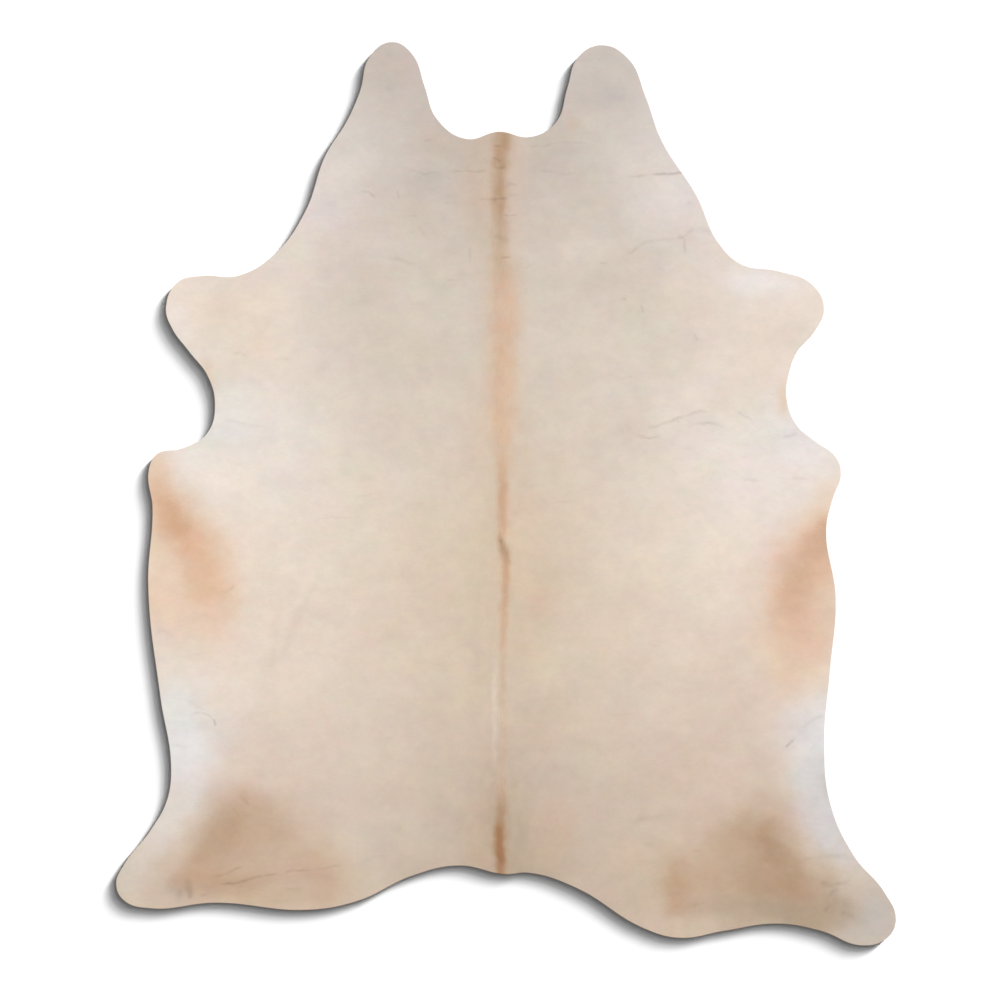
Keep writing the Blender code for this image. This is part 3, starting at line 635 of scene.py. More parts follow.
# Rows of mesh points along the spine, on each side of it and wider apart the farther out
SPINE_PATH = ((0.0, 1.87), (0.004, 1.56), (0.006, 0.85), (0.006, 0.56), (-0.003, 0.2), (-0.003, 0.01))
SPINE_LINES = 7
SPINE_LINE_GAP = 0.0034
SPINE_LINE_GROWTH = 1.15
SPINE_LINE_STEP = 0.0065

# Meshes: what counts as the same place, the filling of the inside only, the points between two
# corners of the outline, and the least distance between points beside the creases
SAME_CORNER = 1e-6
SAME_PLACE = 1e-7
FILL_INSIDE = 1
RING_RESOLUTION = 8
LEAST_GAP = 0.0012

# How far a sheet's inner points keep from finer points and from the rim, in steps of their net,
# and how much coarser the coat's underside is than the leather
NET_CLEARANCE = 0.55
LEATHER_CLEARANCE = 0.5
COAT_CLEARANCE = 0.3
UNDERSIDE_COARSENESS = 2.0

# How deep the coat's underside is sunk in the leather, and how far inside the rim the coat's
# surface has grown fully uneven
COAT_OVERLAP = 0.0002
EVEN_RIM = 0.03

# The coat's locks are made band by band along the body, so that no piece grows too large
BANDS = (
    ("coat_locks_neck", 1.56, 2.2),
    ("coat_locks_shoulders", 1.13, 1.56),
    ("coat_locks_ribs", 0.74, 1.13),
    ("coat_locks_haunch", 0.35, 0.74),
    ("coat_locks_rump", -0.2, 0.35),
)

# What is drawn for each lock: least, most and seed
LOCK_DRAWS = {
    "length": (0.75, 1.15, 11),
    "width": (0.7, 1.2, 12),
    "turn": (-1.0, 1.0, 13),
    "tone": (-1.0, 1.0, 14),
}

# A lock: how far its crest lies behind its middle, how deep it is sunk, how much its own tone
# shows, how far apart two locks lie in the pattern of hairs, and the least reach for one
LOCK_CREST_BACK = 0.12
LOCK_SUNK = 0.00005
LOCK_CONTRAST = 0.010
LOCKS_APART = 97.0
SHORTEST_LOCK = 0.004

# Locks on a square metre at most, and how far up a face points at least where they grow and where
# they are set down
MOST_LOCKS = 90000.0
LEVEL_FACE = 0.7
STEEP_RIM = 0.2

# The suede's darker and lighter tone, each with its place on the ramp
SUEDE_TONES = ((0.30, (0.43, 0.36, 0.29)), (0.72, (0.60, 0.53, 0.45)))

# The lamps that light the floor from the upper right, so that the rim casts a soft shadow.
# Columns: lamp, share of the floor's brightness, elevation and breadth in degrees
FLOOR_LAMPS = (
    ("low_lamp", 0.395, 6.0, 4.0),
    ("lower_middle_lamp", 0.37, 9.5, 6.0),
    ("upper_middle_lamp", 0.14, 16.0, 10.0),
    ("high_lamp", 0.095, 28.0, 18.0),
)
# The lamp over the hide: elevation and breadth. All lamps stand on the same side
OVERHEAD = (80.0, 85.0)
LAMP_SIDE = 45.0

# The floor: its size, how far it lies under the hide, and its tone
FLOOR_SIZE = 80.0
FLOOR_DROP = 0.0002
FLOOR_TONE = 0.9

# The backdrop that the camera sees, and its brightness
WHITE = (1.0, 1.0, 1.0, 1.0)
BACKDROP = 1.05

# The picture: its width in pixels, the place in the frame that its middle shows, and how far off
# the camera still sees
PICTURE_WIDTH = 1000.0
PICTURE_MIDDLE = (-0.0152, -0.0158)
CAMERA_REACH = 200.0


# Settings


def colour_settings(rows):
    """A colour setting for each row of a table: setting, description, and red, green and blue of 255."""
    return {
        name: FloatVectorProperty(
            name=name.replace("_", " ").capitalize(), description=description, subtype="COLOR_GAMMA",
            size=3, min=0.0, max=1.0, default=tuple(part / 255.0 for part in colour))
        for name, description, *colour in rows}


def length_setting(name, description, default):
    return FloatProperty(name=name, description=description, default=default, unit="LENGTH")


class HidePigments(bpy.types.PropertyGroup):
    """The colours that the coat is painted with."""
    __annotations__ = colour_settings(PIGMENTS)


class GroundTones(bpy.types.PropertyGroup):
    """The coat's ground tones, from the neck to the rump."""
    __annotations__ = colour_settings(GROUND_TONES)


class HideSizes(bpy.types.PropertyGroup):
    """Thicknesses and how finely the sheets are made."""
    leather: length_setting("Leather", "Thickness of the leather", 0.0020)
    coat: length_setting("Coat", "Depth of the lying hair", 0.0030)
    edge_step: length_setting("Edge step", "Distance between points on the rim", 0.0042)
    coat_step: length_setting("Coat step", "Distance between points on the coat", 0.0090)
    leather_step: length_setting("Leather step", "Distance between points on the leather", 0.0200)
    unevenness: length_setting("Unevenness", "How far the coat's surface rises and falls", 0.00022)


class LockSizes(bpy.types.PropertyGroup):
    """The small locks that make up the coat."""
    length: length_setting("Length", "Length of a lock", 0.026)
    width: length_setting("Width", "Width of a lock", 0.0026)
    height: length_setting("Height", "Height of a lock", 0.00028)
    spacing: length_setting("Spacing", "Least distance between the roots of locks", 0.0052)
    roundness: FloatProperty(
        name="Roundness", description="Share of a lock's own form in its shading", default=0.12,
        subtype="FACTOR")
    turn: FloatProperty(
        name="Turn", description="How far a lock may turn from the lie of the hair",
        default=math.radians(9.0), subtype="ANGLE")
    seed: IntProperty(name="Seed", description="Start of the random draws", default=7)


class StudioSettings(bpy.types.PropertyGroup):
    """Floor, lamps and camera."""
    pixel: length_setting("Pixel", "Width on the hide of one pixel of the picture", 0.00253)
    lens: FloatProperty(name="Lens", description="Focal length of the camera in millimetres", default=85.0)
    ambient: FloatProperty(name="Ambient", description="Brightness of the surroundings", default=0.145)
    overhead: FloatProperty(name="Overhead", description="Strength of the lamp over the hide", default=2.68)
    floor: FloatProperty(name="Floor", description="Brightness that the lamps give the floor", default=0.93)


# Places and lines on the hide


def in_row(places):
    """Places given as (side, along), moved into the frame's own x and y."""
    return np.asarray(places, float).reshape(-1, 2) + (SPINE_X, TAIL_Y)


def smoothstep(share):
    share = np.clip(share, 0.0, 1.0)
    return share * share * (3.0 - 2.0 * share)


def along_line(points, line):
    """Distance from each point to a broken line, and how far along it the nearest place is, 0 to 1."""
    steps = np.diff(line, axis=0)
    lengths = np.linalg.norm(steps, axis=1)
    before = np.append(0.0, np.cumsum(lengths))
    best = np.full(len(points), np.inf)
    place = np.zeros(len(points))
    for start, step, length, done in zip(line, steps, lengths, before):
        share = np.clip((points - start) @ step / length ** 2, 0.0, 1.0)
        away = np.linalg.norm(points - start - share[:, None] * step, axis=1)
        nearer = away < best
        best[nearer] = away[nearer]
        place[nearer] = ((done + share * length) / before[-1])[nearer]
    return best, place


def waver(points, name):
    """Smooth random values, two for each point, as the table of wavers says, and the same in each run."""
    scale, start, reach = WAVERS[name]
    noise.seed_set(WAVER_SEED)
    values = [noise.noise_vector(Vector((x * scale, y * scale, start)))[:2] for x, y in points]
    return np.array(values) * reach


def patches(points, name):
    """Random values about 1, one for each point, with finer and finer patches in them."""
    scale, start, amount = PATCHES[name]
    values = [noise.fractal(Vector((x * scale, y * scale, start)), *PATCH_DETAIL) for x, y in points]
    return 1.0 + amount * np.array(values)


def fold_lift(points):
    """How high the soft folds lift the sheet at each point."""
    lift = np.zeros(len(points))
    for _, start, end, half_width, height in FOLDS:
        away, place = along_line(points, in_row([start, end]))
        taper = np.clip(np.minimum(place, 1.0 - place) / FOLD_END, 0.0, 1.0)
        across = np.cos(np.clip(away / half_width, 0.0, 1.0) * math.pi / 2.0) ** 2
        lift += height * np.sin(taper * math.pi / 2.0) * across
    return lift


def crease_marks(points):
    """Depth of the creases at each point, and the shade painted into them there, or the tone of a small
    mark.
    """
    depth = np.zeros(len(points))
    shade = np.zeros(len(points))
    moved = points + waver(points, "crease line")
    least, usual, most = CREASE_EVENNESS
    uneven = np.clip(usual + waver(points, "crease depth")[:, 0], least, most)
    for _, half_width, deep, dark, places in CREASES:
        away, place = along_line(moved, in_row(places))
        run_in = smoothstep(np.minimum(place, 1.0 - place) / CREASE_END)
        taper = run_in * (1.0 - CREASE_TIP) + CREASE_TIP
        across = np.exp(-(away / half_width) ** 2) * taper * uneven
        depth = np.maximum(depth, deep * across)
        shade = np.maximum(shade, dark * across)
    return depth, shade


def lie_of_hair(points):
    """The direction in which the hair lies: down the spine, and out towards the belly and the legs."""
    side = points[:, 0] - SPINE_X
    spread = smoothstep(np.abs(side) / LIE_TURNED_AT) * LIE_TURN * np.sign(side)
    spread = spread + waver(points, "lie of the hair")[:, 0]
    return np.column_stack([np.sin(spread), -np.cos(spread)])


def hair_reach(points, outline):
    """How far a hair that starts at each point may lie before it meets the rim or a crease."""
    reach = np.full(len(points), HAIR_REACH[0])
    lie = lie_of_hair(points)
    for distance in HAIR_REACH:
        there = points + lie * distance
        stopped = (outline.gap(there) < RIM_CLEARANCE) | (crease_marks(there)[1] > CLEAR_CREASE)
        reach[stopped] = distance
    return reach


# The painted colours


def srgb_to_linear(colour):
    colour = np.asarray(colour, float)
    return np.where(colour <= 0.04045, colour / 12.92, ((colour + 0.055) / 1.055) ** 2.4)


def mixed(colour, pigment, mask):
    share = np.clip(mask, 0.0, 1.0)[:, None]
    return colour * (1.0 - share) + np.array(pigment[:]) * share


def ground_colour(side, along):
    """The coat's ground colour, blended between the sections and from the spine to both edges."""
    tones = bpy.context.scene.ground_tones
    rows = sorted(GROUND, key=lambda row: row[1])
    stations = [row[1] for row in rows]

    def blended(values):
        return np.interp(along, stations, values)[:, None]

    def tone(column):
        channels = zip(*(getattr(tones, row[column])[:] for row in rows))
        return np.hstack([blended(channel) for channel in channels])

    start, end = (blended([row[column] for row in rows])[:, 0] for column in (4, 5))
    share = smoothstep((np.abs(side) - start) / (end - start))[:, None]
    return tone(2) * (1.0 - share) + tone(3) * share


def stroke_mask(points, stations, wobble):
    """How strongly a soft stroke covers each point."""
    stations = np.array(stations)
    line = in_row(stations[:, :2])
    steps = np.linalg.norm(np.diff(line, axis=0), axis=1)
    at = np.append(0.0, np.cumsum(steps)) / steps.sum()
    away, place = along_line(points, line)
    half_width = np.interp(place, at, stations[:, 2])
    strength = np.interp(place, at, stations[:, 3])
    return strength * np.exp(-(away / (half_width * wobble)) ** STROKE_EDGE)


def oval_mask(points, side, along, half_breadth, half_length, turn, wobble):
    """How strongly an oval stain covers each point."""
    across, down = (points - in_row((side, along))).T
    angle = math.radians(turn)
    breadth = (across * math.cos(angle) + down * math.sin(angle)) / half_breadth
    length = (down * math.cos(angle) - across * math.sin(angle)) / half_length
    return np.exp(-((breadth ** 2 + length ** 2) / wobble ** 2) ** OVAL_EDGE)


def coat_colours(points):
    """The painted colour of the coat at each point, in linear light."""
    pigments = bpy.context.scene.hide_pigments
    moved = points + waver(points, "stain, broad") + waver(points, "stain, middle")
    moved = moved + waver(points, "stain, fine")
    wobble = patches(points, "stain edge")
    patchy = patches(points, "stroke strength")
    colour = ground_colour(*(moved - in_row((0.0, 0.0))).T)
    for _, pigment, *oval, strength in STAINS:
        colour = mixed(colour, getattr(pigments, pigment), strength * oval_mask(moved, *oval, wobble))
    for _, pigment, stations in STROKES:
        mask = stroke_mask(moved, stations, wobble) * patchy
        colour = mixed(colour, getattr(pigments, pigment), mask)
    ragged = waver(points * LONG_RAGS, "spine, broad") + waver(points * SHORT_RAGS, "spine, fine")
    broken = 1.0 + waver(points * BROKEN_HAIR, "spine strength")[:, 0]
    for _, pigment, stations in SPINE_STROKES:
        mask = stroke_mask(points + ragged * SIDEWAYS, stations, 1.0) * broken
        colour = mixed(colour, getattr(pigments, pigment), mask)
    # Painted shade in the creases, and the small dark marks, dim the colour
    colour = colour * (1.0 - crease_marks(points)[1][:, None] * (1.0 - np.array(pigments.crease[:])))
    return srgb_to_linear(colour)


# The outline


def cad_rim():
    """The solid's outermost line, as points in order round it, clockwise seen from above."""
    shape = bmesh.new()
    shape.from_mesh(frame["nodes"][NODE].data)
    bmesh.ops.remove_doubles(shape, verts=shape.verts, dist=SAME_CORNER)
    shape.normal_update()
    turns = [edge for edge in shape.edges if len(edge.link_faces) == 2
             and (edge.link_faces[0].normal.z > 0.0) != (edge.link_faces[1].normal.z > 0.0)]
    after = {}
    for edge in turns:
        for corner in edge.verts:
            after.setdefault(corner, []).append(edge)
    start = turns[0].verts[0]
    walk = [start]
    edge = turns[0]
    while True:
        corner = edge.other_vert(walk[-1])
        if corner == start:
            break
        walk.append(corner)
        edge = next(other for other in after[corner] if other is not edge)
    points = np.array([corner.co[:2] for corner in walk])
    shape.free()
    ahead = np.roll(points, -1, axis=0)
    area = (points[:, 0] * ahead[:, 1] - ahead[:, 0] * points[:, 1]).sum()
    return points if area < 0.0 else points[::-1]


def smooth_ring(points, step):
    """A smooth closed line through the points, with new points at equal distances."""
    data = bpy.data.curves.new("rim", "CURVE")
    spline = data.splines.new("BEZIER")
    spline.bezier_points.add(len(points) - 1)
    for knot, (x, y) in zip(spline.bezier_points, points):
        knot.co = (x, y, 0.0)
        knot.handle_left_type = "AUTO"
        knot.handle_right_type = "AUTO"
    spline.use_cyclic_u = True
    data.resolution_u = RING_RESOLUTION
    holder = bpy.data.objects.new("rim", data)
    bpy.context.scene.collection.objects.link(holder)
    mesh = bpy.data.meshes.new_from_object(holder)
    fine = np.array([vertex.co[:2] for vertex in mesh.vertices])
    bpy.data.objects.remove(holder)
    bpy.data.curves.remove(data)
    bpy.data.meshes.remove(mesh)
    closed = np.vstack([fine, fine[:1]])
    run = np.append(0.0, np.cumsum(np.linalg.norm(np.diff(closed, axis=0), axis=1)))
    count = round(run[-1] / step)
    at = np.arange(count) * run[-1] / count
    return np.column_stack([np.interp(at, run, closed[:, axis]) for axis in (0, 1)])


def inward(ring):
    """The unit vector at each point of the ring that points into the hide."""
    tangent = np.roll(ring, -1, axis=0) - np.roll(ring, 1, axis=0)
    tangent /= np.linalg.norm(tangent, axis=1)[:, None]
    return np.column_stack([tangent[:, 1], -tangent[:, 0]])


def search_tree(points):
    """A tree that finds the nearest of some flat points."""
    tree = kdtree.KDTree(len(points))
    for number, (x, y) in enumerate(points):
        tree.insert((x, y, 0.0), number)
    tree.balance()
    return tree


class Outline:
    """The hide's edge, with the distance of any point from it."""

    def __init__(self, step):
        self.ring = smooth_ring(cad_rim(), step)
        self.into = inward(self.ring)
        self.tree = search_tree(self.ring)

    def gap(self, points):
        """Distance inside the edge, less than zero outside it."""
        found = np.array([self.tree.find((x, y, 0.0))[1] for x, y in points])
        return ((points - self.ring[found]) * self.into[found]).sum(axis=1)


@cache
def hide_outline(step):
    """The outline that the leather and the coat share, worked out once for each step."""
    return Outline(step)


# Sheets


def hexagonal(low, high, step):
    """A net of equal triangles between two corners."""
    rows = np.arange(low[1], high[1], step * math.sqrt(0.75))
    net = [(x, y) for number, y in enumerate(rows)
           for x in np.arange(low[0] + (number % 2) * step / 2.0, high[0], step)]
    return np.array(net)


def strip(line, step, offsets):
    """Points beside a broken line at the given distances from it."""
    found = []
    for start, end in zip(line, line[1:]):
        run = end - start
        length = np.linalg.norm(run)
        across = np.array([-run[1], run[0]]) / length
        count = max(1, round(length / step))
        for number in range(count):
            found += [start + run * number / count + across * offset for offset in offsets]
    return found


def fine_points():
    """Extra points that let the mesh follow the creases and the line of the spine."""
    found = []
    for _, half_width, _, _, places in CREASES:
        offsets = [half_width * share for share in CREASE_LINES]
        found += strip(in_row(places), half_width * CREASE_LINE_STEP, offsets)
    offsets = [math.copysign(SPINE_LINE_GAP * abs(number) ** SPINE_LINE_GROWTH, number)
               for number in range(-SPINE_LINES, SPINE_LINES + 1)]
    found += strip(in_row(SPINE_PATH), SPINE_LINE_STEP, offsets)
    return np.array(found)


def thinned(points, least):
    """The points without those that lie too near an earlier one."""
    kept = {}
    for point in points:
        cell = (round(point[0] / least), round(point[1] / least))
        kept.setdefault(cell, point)
    return np.array(list(kept.values()))


def filling(outline, step, extra):
    """Inner points of a sheet: a net of the given step, and the extra points where there are any."""
    ring = outline.ring
    net = hexagonal(ring.min(axis=0), ring.max(axis=0), step)
    if len(extra):
        tree = search_tree(extra)
        clear = np.array([tree.find((x, y, 0.0))[2] > step * NET_CLEARANCE for x, y in net])
        net = np.vstack([extra, net[clear]])
    return net


def triangulated(inner_ring, field):
    """Triangles that fill the inner ring and use every point of the field, facing up."""
    count = len(inner_ring)
    flat = [Vector(point) for point in np.vstack([inner_ring, field])]
    border = [(number, (number + 1) % count) for number in range(count)]
    points, _, faces, *_ = delaunay_2d_cdt(flat, border, [], FILL_INSIDE, SAME_PLACE)
    points = np.array([point[:] for point in points])
    faces = np.array(faces)
    a, b, c = (points[faces[:, k]] for k in range(3))
    turned = (b - a)[:, 0] * (c - a)[:, 1] < (b - a)[:, 1] * (c - a)[:, 0]
    faces[turned] = faces[turned][:, ::-1]
    return points, faces


def closed_sheet(name, outline, rim, upper_field, lower_field, height):
    """A closed sheet with a rounded rim.

    height gives z for points, for their share of the height and for their distance from the edge.
    """
    ring, into = outline.ring, outline.into
    count = len(ring)
    top, top_faces = triangulated(ring + into * rim[0][0], upper_field)
    bottom, bottom_faces = triangulated(ring + into * rim[-1][0], lower_field)
    blocks = [np.column_stack([top, height(top, 1.0, outline.gap(top))])]
    starts = [0]
    for inset, share in rim[1:-1]:
        starts.append(sum(map(len, blocks)))
        line = ring + into * inset
        blocks.append(np.column_stack([line, height(line, share, np.full(count, inset))]))
    starts.append(sum(map(len, blocks)))
    blocks.append(np.column_stack([bottom, height(bottom, 0.0, outline.gap(bottom))]))
    faces = [top_faces, bottom_faces[:, ::-1] + starts[-1]]
    number = np.arange(count)
    after = (number + 1) % count
    for upper, lower in zip(starts, starts[1:]):
        faces.append(np.column_stack([upper + number, upper + after, lower + after]))
        faces.append(np.column_stack([upper + number, lower + after, lower + number]))
    mesh = bpy.data.meshes.new(name)
    mesh.from_pydata(np.vstack(blocks).tolist(), [], np.vstack(faces).tolist())
    mesh.shade_smooth()
    piece = bpy.data.objects.new(name, mesh)
    bpy.context.scene.collection.objects.link(piece)
    return piece


def paint(mesh, outline):
    """Gives a mesh the coat's colour, the lie of the hair and how far a hair may reach."""
    flat = np.zeros(len(mesh.vertices) * 3)
    mesh.vertices.foreach_get("co", flat)
    flat = flat.reshape(-1, 3)[:, :2]
    colour = np.column_stack([coat_colours(flat), np.ones(len(flat))])
    lie = np.column_stack([lie_of_hair(flat), np.zeros(len(flat))])
    for name, kind, part, values in (
            ("coat_colour", "FLOAT_COLOR", "color", colour),
            ("lie", "FLOAT_VECTOR", "vector", lie),
            ("reach", "FLOAT", "value", hair_reach(flat, outline))):
        mesh.attributes.new(name, kind, "POINT").data.foreach_set(part, values.ravel())


def declare(piece):
    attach(piece, BODY)
    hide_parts(NODE)


# Node trees


def node(tree, kind, inputs=None, **settings):
    """A node with its settings, whose inputs are given as values or as sockets to link."""
    made = tree.nodes.new(kind)
    for name, value in settings.items():
        setattr(made, name, value)
    for key, value in (inputs or {}).items():
        if isinstance(value, bpy.types.NodeSocket):
            tree.links.new(value, made.inputs[key])
        else:
            made.inputs[key].default_value = value
    return made


def maths(tree, operation, *values):
    return node(tree, "ShaderNodeMath", dict(enumerate(values)), operation=operation).outputs[0]


def vectors(tree, operation, *values):
    return node(tree, "ShaderNodeVectorMath", dict(enumerate(values)), operation=operation).outputs[0]


def joined(tree, x, y, z):
    return node(tree, "ShaderNodeCombineXYZ", {"X": x, "Y": y, "Z": z}).outputs[0]


def about_one(tree, value, amount):
    """A value about a half, turned into a factor about one."""
    return maths(tree, "MULTIPLY_ADD", maths(tree, "SUBTRACT", value, 0.5), amount, 1.0)


def group_tree(name, kind, inputs, outputs):
    tree = bpy.data.node_groups.new(name, kind)
    for label, socket, value in inputs:
        made = tree.interface.new_socket(label, in_out="INPUT", socket_type=socket)
        if value is not None:
            made.default_value = value
    for label, socket in outputs:
        tree.interface.new_socket(label, in_out="OUTPUT", socket_type=socket)
    return tree, tree.nodes.new("NodeGroupInput"), tree.nodes.new("NodeGroupOutput")


def mottle_group():
    """Faint cloudy changes of tone and of hue, as a colour to multiply with."""
    tree, given, result = group_tree(
        "coat_mottle", "ShaderNodeTree",
        [("Scale", "NodeSocketFloat", 30.0), ("Tone", "NodeSocketFloat", 0.1),
         ("Hue", "NodeSocketFloat", 0.05), ("Squeeze", "NodeSocketFloat", 0.8)],
        [("Tint", "NodeSocketColor")])
    squeeze = joined(tree, given.outputs["Squeeze"], 1.0, 1.0)
    place = vectors(tree, "MULTIPLY", node(tree, "ShaderNodeTexCoord").outputs["Object"], squeeze)
    clouds = {"Vector": place, "Scale": given.outputs["Scale"], "Detail": 6.0, "Roughness": 0.8}
    shades = node(tree, "ShaderNodeTexNoise", {"W": 4.6, **clouds}, noise_dimensions="4D")
    hues = node(tree, "ShaderNodeTexNoise", clouds)
    tone = about_one(tree, shades.outputs["Fac"], given.outputs["Tone"])
    middle = maths(tree, "MULTIPLY_ADD", given.outputs["Hue"], -0.5, tone)
    tint = vectors(tree, "MULTIPLY_ADD", hues.outputs["Color"], given.outputs["Hue"], middle)
    tree.links.new(tint, result.inputs["Tint"])
    return tree


def strand_group():
    """Fine hairs that run along each lock, from the lock's own places."""
    tree, given, result = group_tree(
        "hair_strands", "ShaderNodeTree",
        [("Along", "NodeSocketFloat", 1.5), ("Across", "NodeSocketFloat", 7.0),
         ("Amount", "NodeSocketFloat", 0.05)],
        [("Tone", "NodeSocketFloat"), ("Height", "NodeSocketFloat")])
    strand = node(tree, "ShaderNodeAttribute", attribute_name="strand").outputs["Vector"]
    scale = joined(tree, given.outputs["Along"], given.outputs["Across"], LOCKS_APART)
    hairs = node(tree, "ShaderNodeTexNoise", {
        "Vector": vectors(tree, "MULTIPLY", strand, scale), "Scale": 1.0, "Detail": 2.0,
        "Roughness": 0.6}).outputs["Fac"]
    tree.links.new(about_one(tree, hairs, given.outputs["Amount"]), result.inputs["Tone"])
    tree.links.new(hairs, result.inputs["Height"])
    return tree


def spine_group():
    """Fine hairs that run down the spine, strongest on its middle line."""
    tree, given, result = group_tree(
        "spine_hairs", "ShaderNodeTree",
        [("Across", "NodeSocketFloat", 300.0), ("Along", "NodeSocketFloat", 28.0),
         ("Amount", "NodeSocketFloat", 0.15), ("Breadth", "NodeSocketFloat", 0.03)],
        [("Tone", "NodeSocketFloat")])
    place = node(tree, "ShaderNodeTexCoord").outputs["Object"]
    scale = joined(tree, given.outputs["Across"], given.outputs["Along"], 1.0)
    hairs = node(tree, "ShaderNodeTexNoise", {
        "Vector": vectors(tree, "MULTIPLY", place, scale), "Scale": 1.0, "Detail": 3.0,
        "Roughness": 0.65}).outputs["Fac"]
    side = maths(tree, "SUBTRACT", node(tree, "ShaderNodeSeparateXYZ", {0: place}).outputs["X"], SPINE_X)
    near = node(tree, "ShaderNodeMapRange", {
        "Value": maths(tree, "ABSOLUTE", side), "From Min": 0.0, "From Max": given.outputs["Breadth"],
        "To Min": 1.0, "To Max": 0.0}, interpolation_type="SMOOTHSTEP").outputs["Result"]
    amount = maths(tree, "MULTIPLY", near, given.outputs["Amount"])
    tree.links.new(about_one(tree, hairs, amount), result.inputs["Tone"])
    return tree


def new_material(name, values):
    """A material with its node tree and its shader, on which the plain values are set."""
    material = bpy.data.materials.new(name)
    material.use_nodes = True
    shader = material.node_tree.nodes["Principled BSDF"]
    for label, value in values.items():
        shader.inputs[label].default_value = value
    return material, material.node_tree, shader


def coat_material():
    """Lying hair: the painted colour, faint clouds in it, single hairs and a soft sheen."""
    material, tree, shader = new_material("hair_coat", {
        "Roughness": 0.62, "Specular IOR Level": 0.25, "Sheen Weight": 0.08, "Sheen Roughness": 0.45})
    painted = node(tree, "ShaderNodeAttribute", attribute_name="coat_colour").outputs["Color"]
    lock_tone = node(tree, "ShaderNodeAttribute", attribute_name="lock_tone").outputs["Fac"]
    mottle = mottle_group()
    fine = node(tree, "ShaderNodeGroup", {
        "Scale": 34.0, "Tone": 0.17, "Hue": 0.085, "Squeeze": 0.65}, node_tree=mottle)
    broad = node(tree, "ShaderNodeGroup", {"Scale": 9.0, "Tone": 0.34, "Hue": 0.17}, node_tree=mottle)
    strands = node(tree, "ShaderNodeGroup", {"Amount": 0.06}, node_tree=strand_group())
    down_spine = node(tree, "ShaderNodeGroup", {
        "Across": 300.0, "Along": 26.0, "Amount": 0.22, "Breadth": 0.045}, node_tree=spine_group())
    own = maths(tree, "MULTIPLY_ADD", lock_tone, LOCK_CONTRAST, strands.outputs["Tone"])
    hairs = maths(tree, "MULTIPLY", own, down_spine.outputs["Tone"])
    mottled = vectors(tree, "MULTIPLY", fine.outputs["Tint"], broad.outputs["Tint"])
    colour = vectors(tree, "MULTIPLY", vectors(tree, "MULTIPLY", painted, mottled), hairs)
    bump = node(tree, "ShaderNodeBump", {
        "Height": strands.outputs["Height"], "Strength": 0.25, "Distance": 0.0001})
    tree.links.new(colour, shader.inputs["Base Color"])
    tree.links.new(bump.outputs["Normal"], shader.inputs["Normal"])
    return material


def suede_material():
    """The flesh side: cloudy greyish suede with a fine nap."""
    material, tree, shader = new_material("suede_flesh_side", {
        "Roughness": 0.92, "Specular IOR Level": 0.15})
    place = node(tree, "ShaderNodeTexCoord").outputs["Object"]
    nap = node(tree, "ShaderNodeTexNoise", {
        "Vector": place, "Scale": 260.0, "Detail": 6.0, "Roughness": 0.75})
    blotch = node(tree, "ShaderNodeTexNoise", {
        "Vector": place, "Scale": 6.0, "Detail": 6.0, "Roughness": 0.6})
    ramp = node(tree, "ShaderNodeValToRGB", {"Fac": blotch.outputs["Fac"]})
    for stop, (position, colour) in zip(ramp.color_ramp.elements, SUEDE_TONES):
        stop.position = position
        stop.color = (*colour, 1.0)
    bump = node(tree, "ShaderNodeBump", {
        "Height": nap.outputs["Fac"], "Strength": 0.5, "Distance": 0.0006})
    tree.links.new(ramp.outputs["Color"], shader.inputs["Base Color"])
    tree.links.new(bump.outputs["Normal"], shader.inputs["Normal"])
    return material


# Locks of hair


def deselect_all():
    for piece in bpy.context.view_layer.objects:
        piece.select_set(False)


def make_active(piece):
    deselect_all()
    piece.select_set(True)
    bpy.context.view_layer.objects.active = piece


def lock_shape():
    """One lock, lying along X with its root at the origin, one long, one wide and one high."""
    bpy.ops.mesh.primitive_cone_add(
        vertices=4, radius1=0.5, radius2=0.0, depth=1.0, end_fill_type="NGON", location=(0.5, 0.0, 0.5))
    lock = bpy.context.active_object
    lock.name = "lock"
    bpy.ops.object.transform_apply(location=True, rotation=True, scale=True)
    for corner in lock.data.vertices:
        corner.select = abs(corner.co.x - 0.5) < 0.01
    bpy.ops.object.mode_set(mode="EDIT")
    bpy.ops.mesh.select_mode(type="VERT")
    bpy.ops.transform.translate(value=(-LOCK_CREST_BACK, 0.0, 0.0))
    bpy.ops.mesh.select_all(action="SELECT")
    bpy.ops.mesh.quads_convert_to_tris(quad_method="FIXED", ngon_method="BEAUTY")
    bpy.ops.object.mode_set(mode="OBJECT")
    return lock


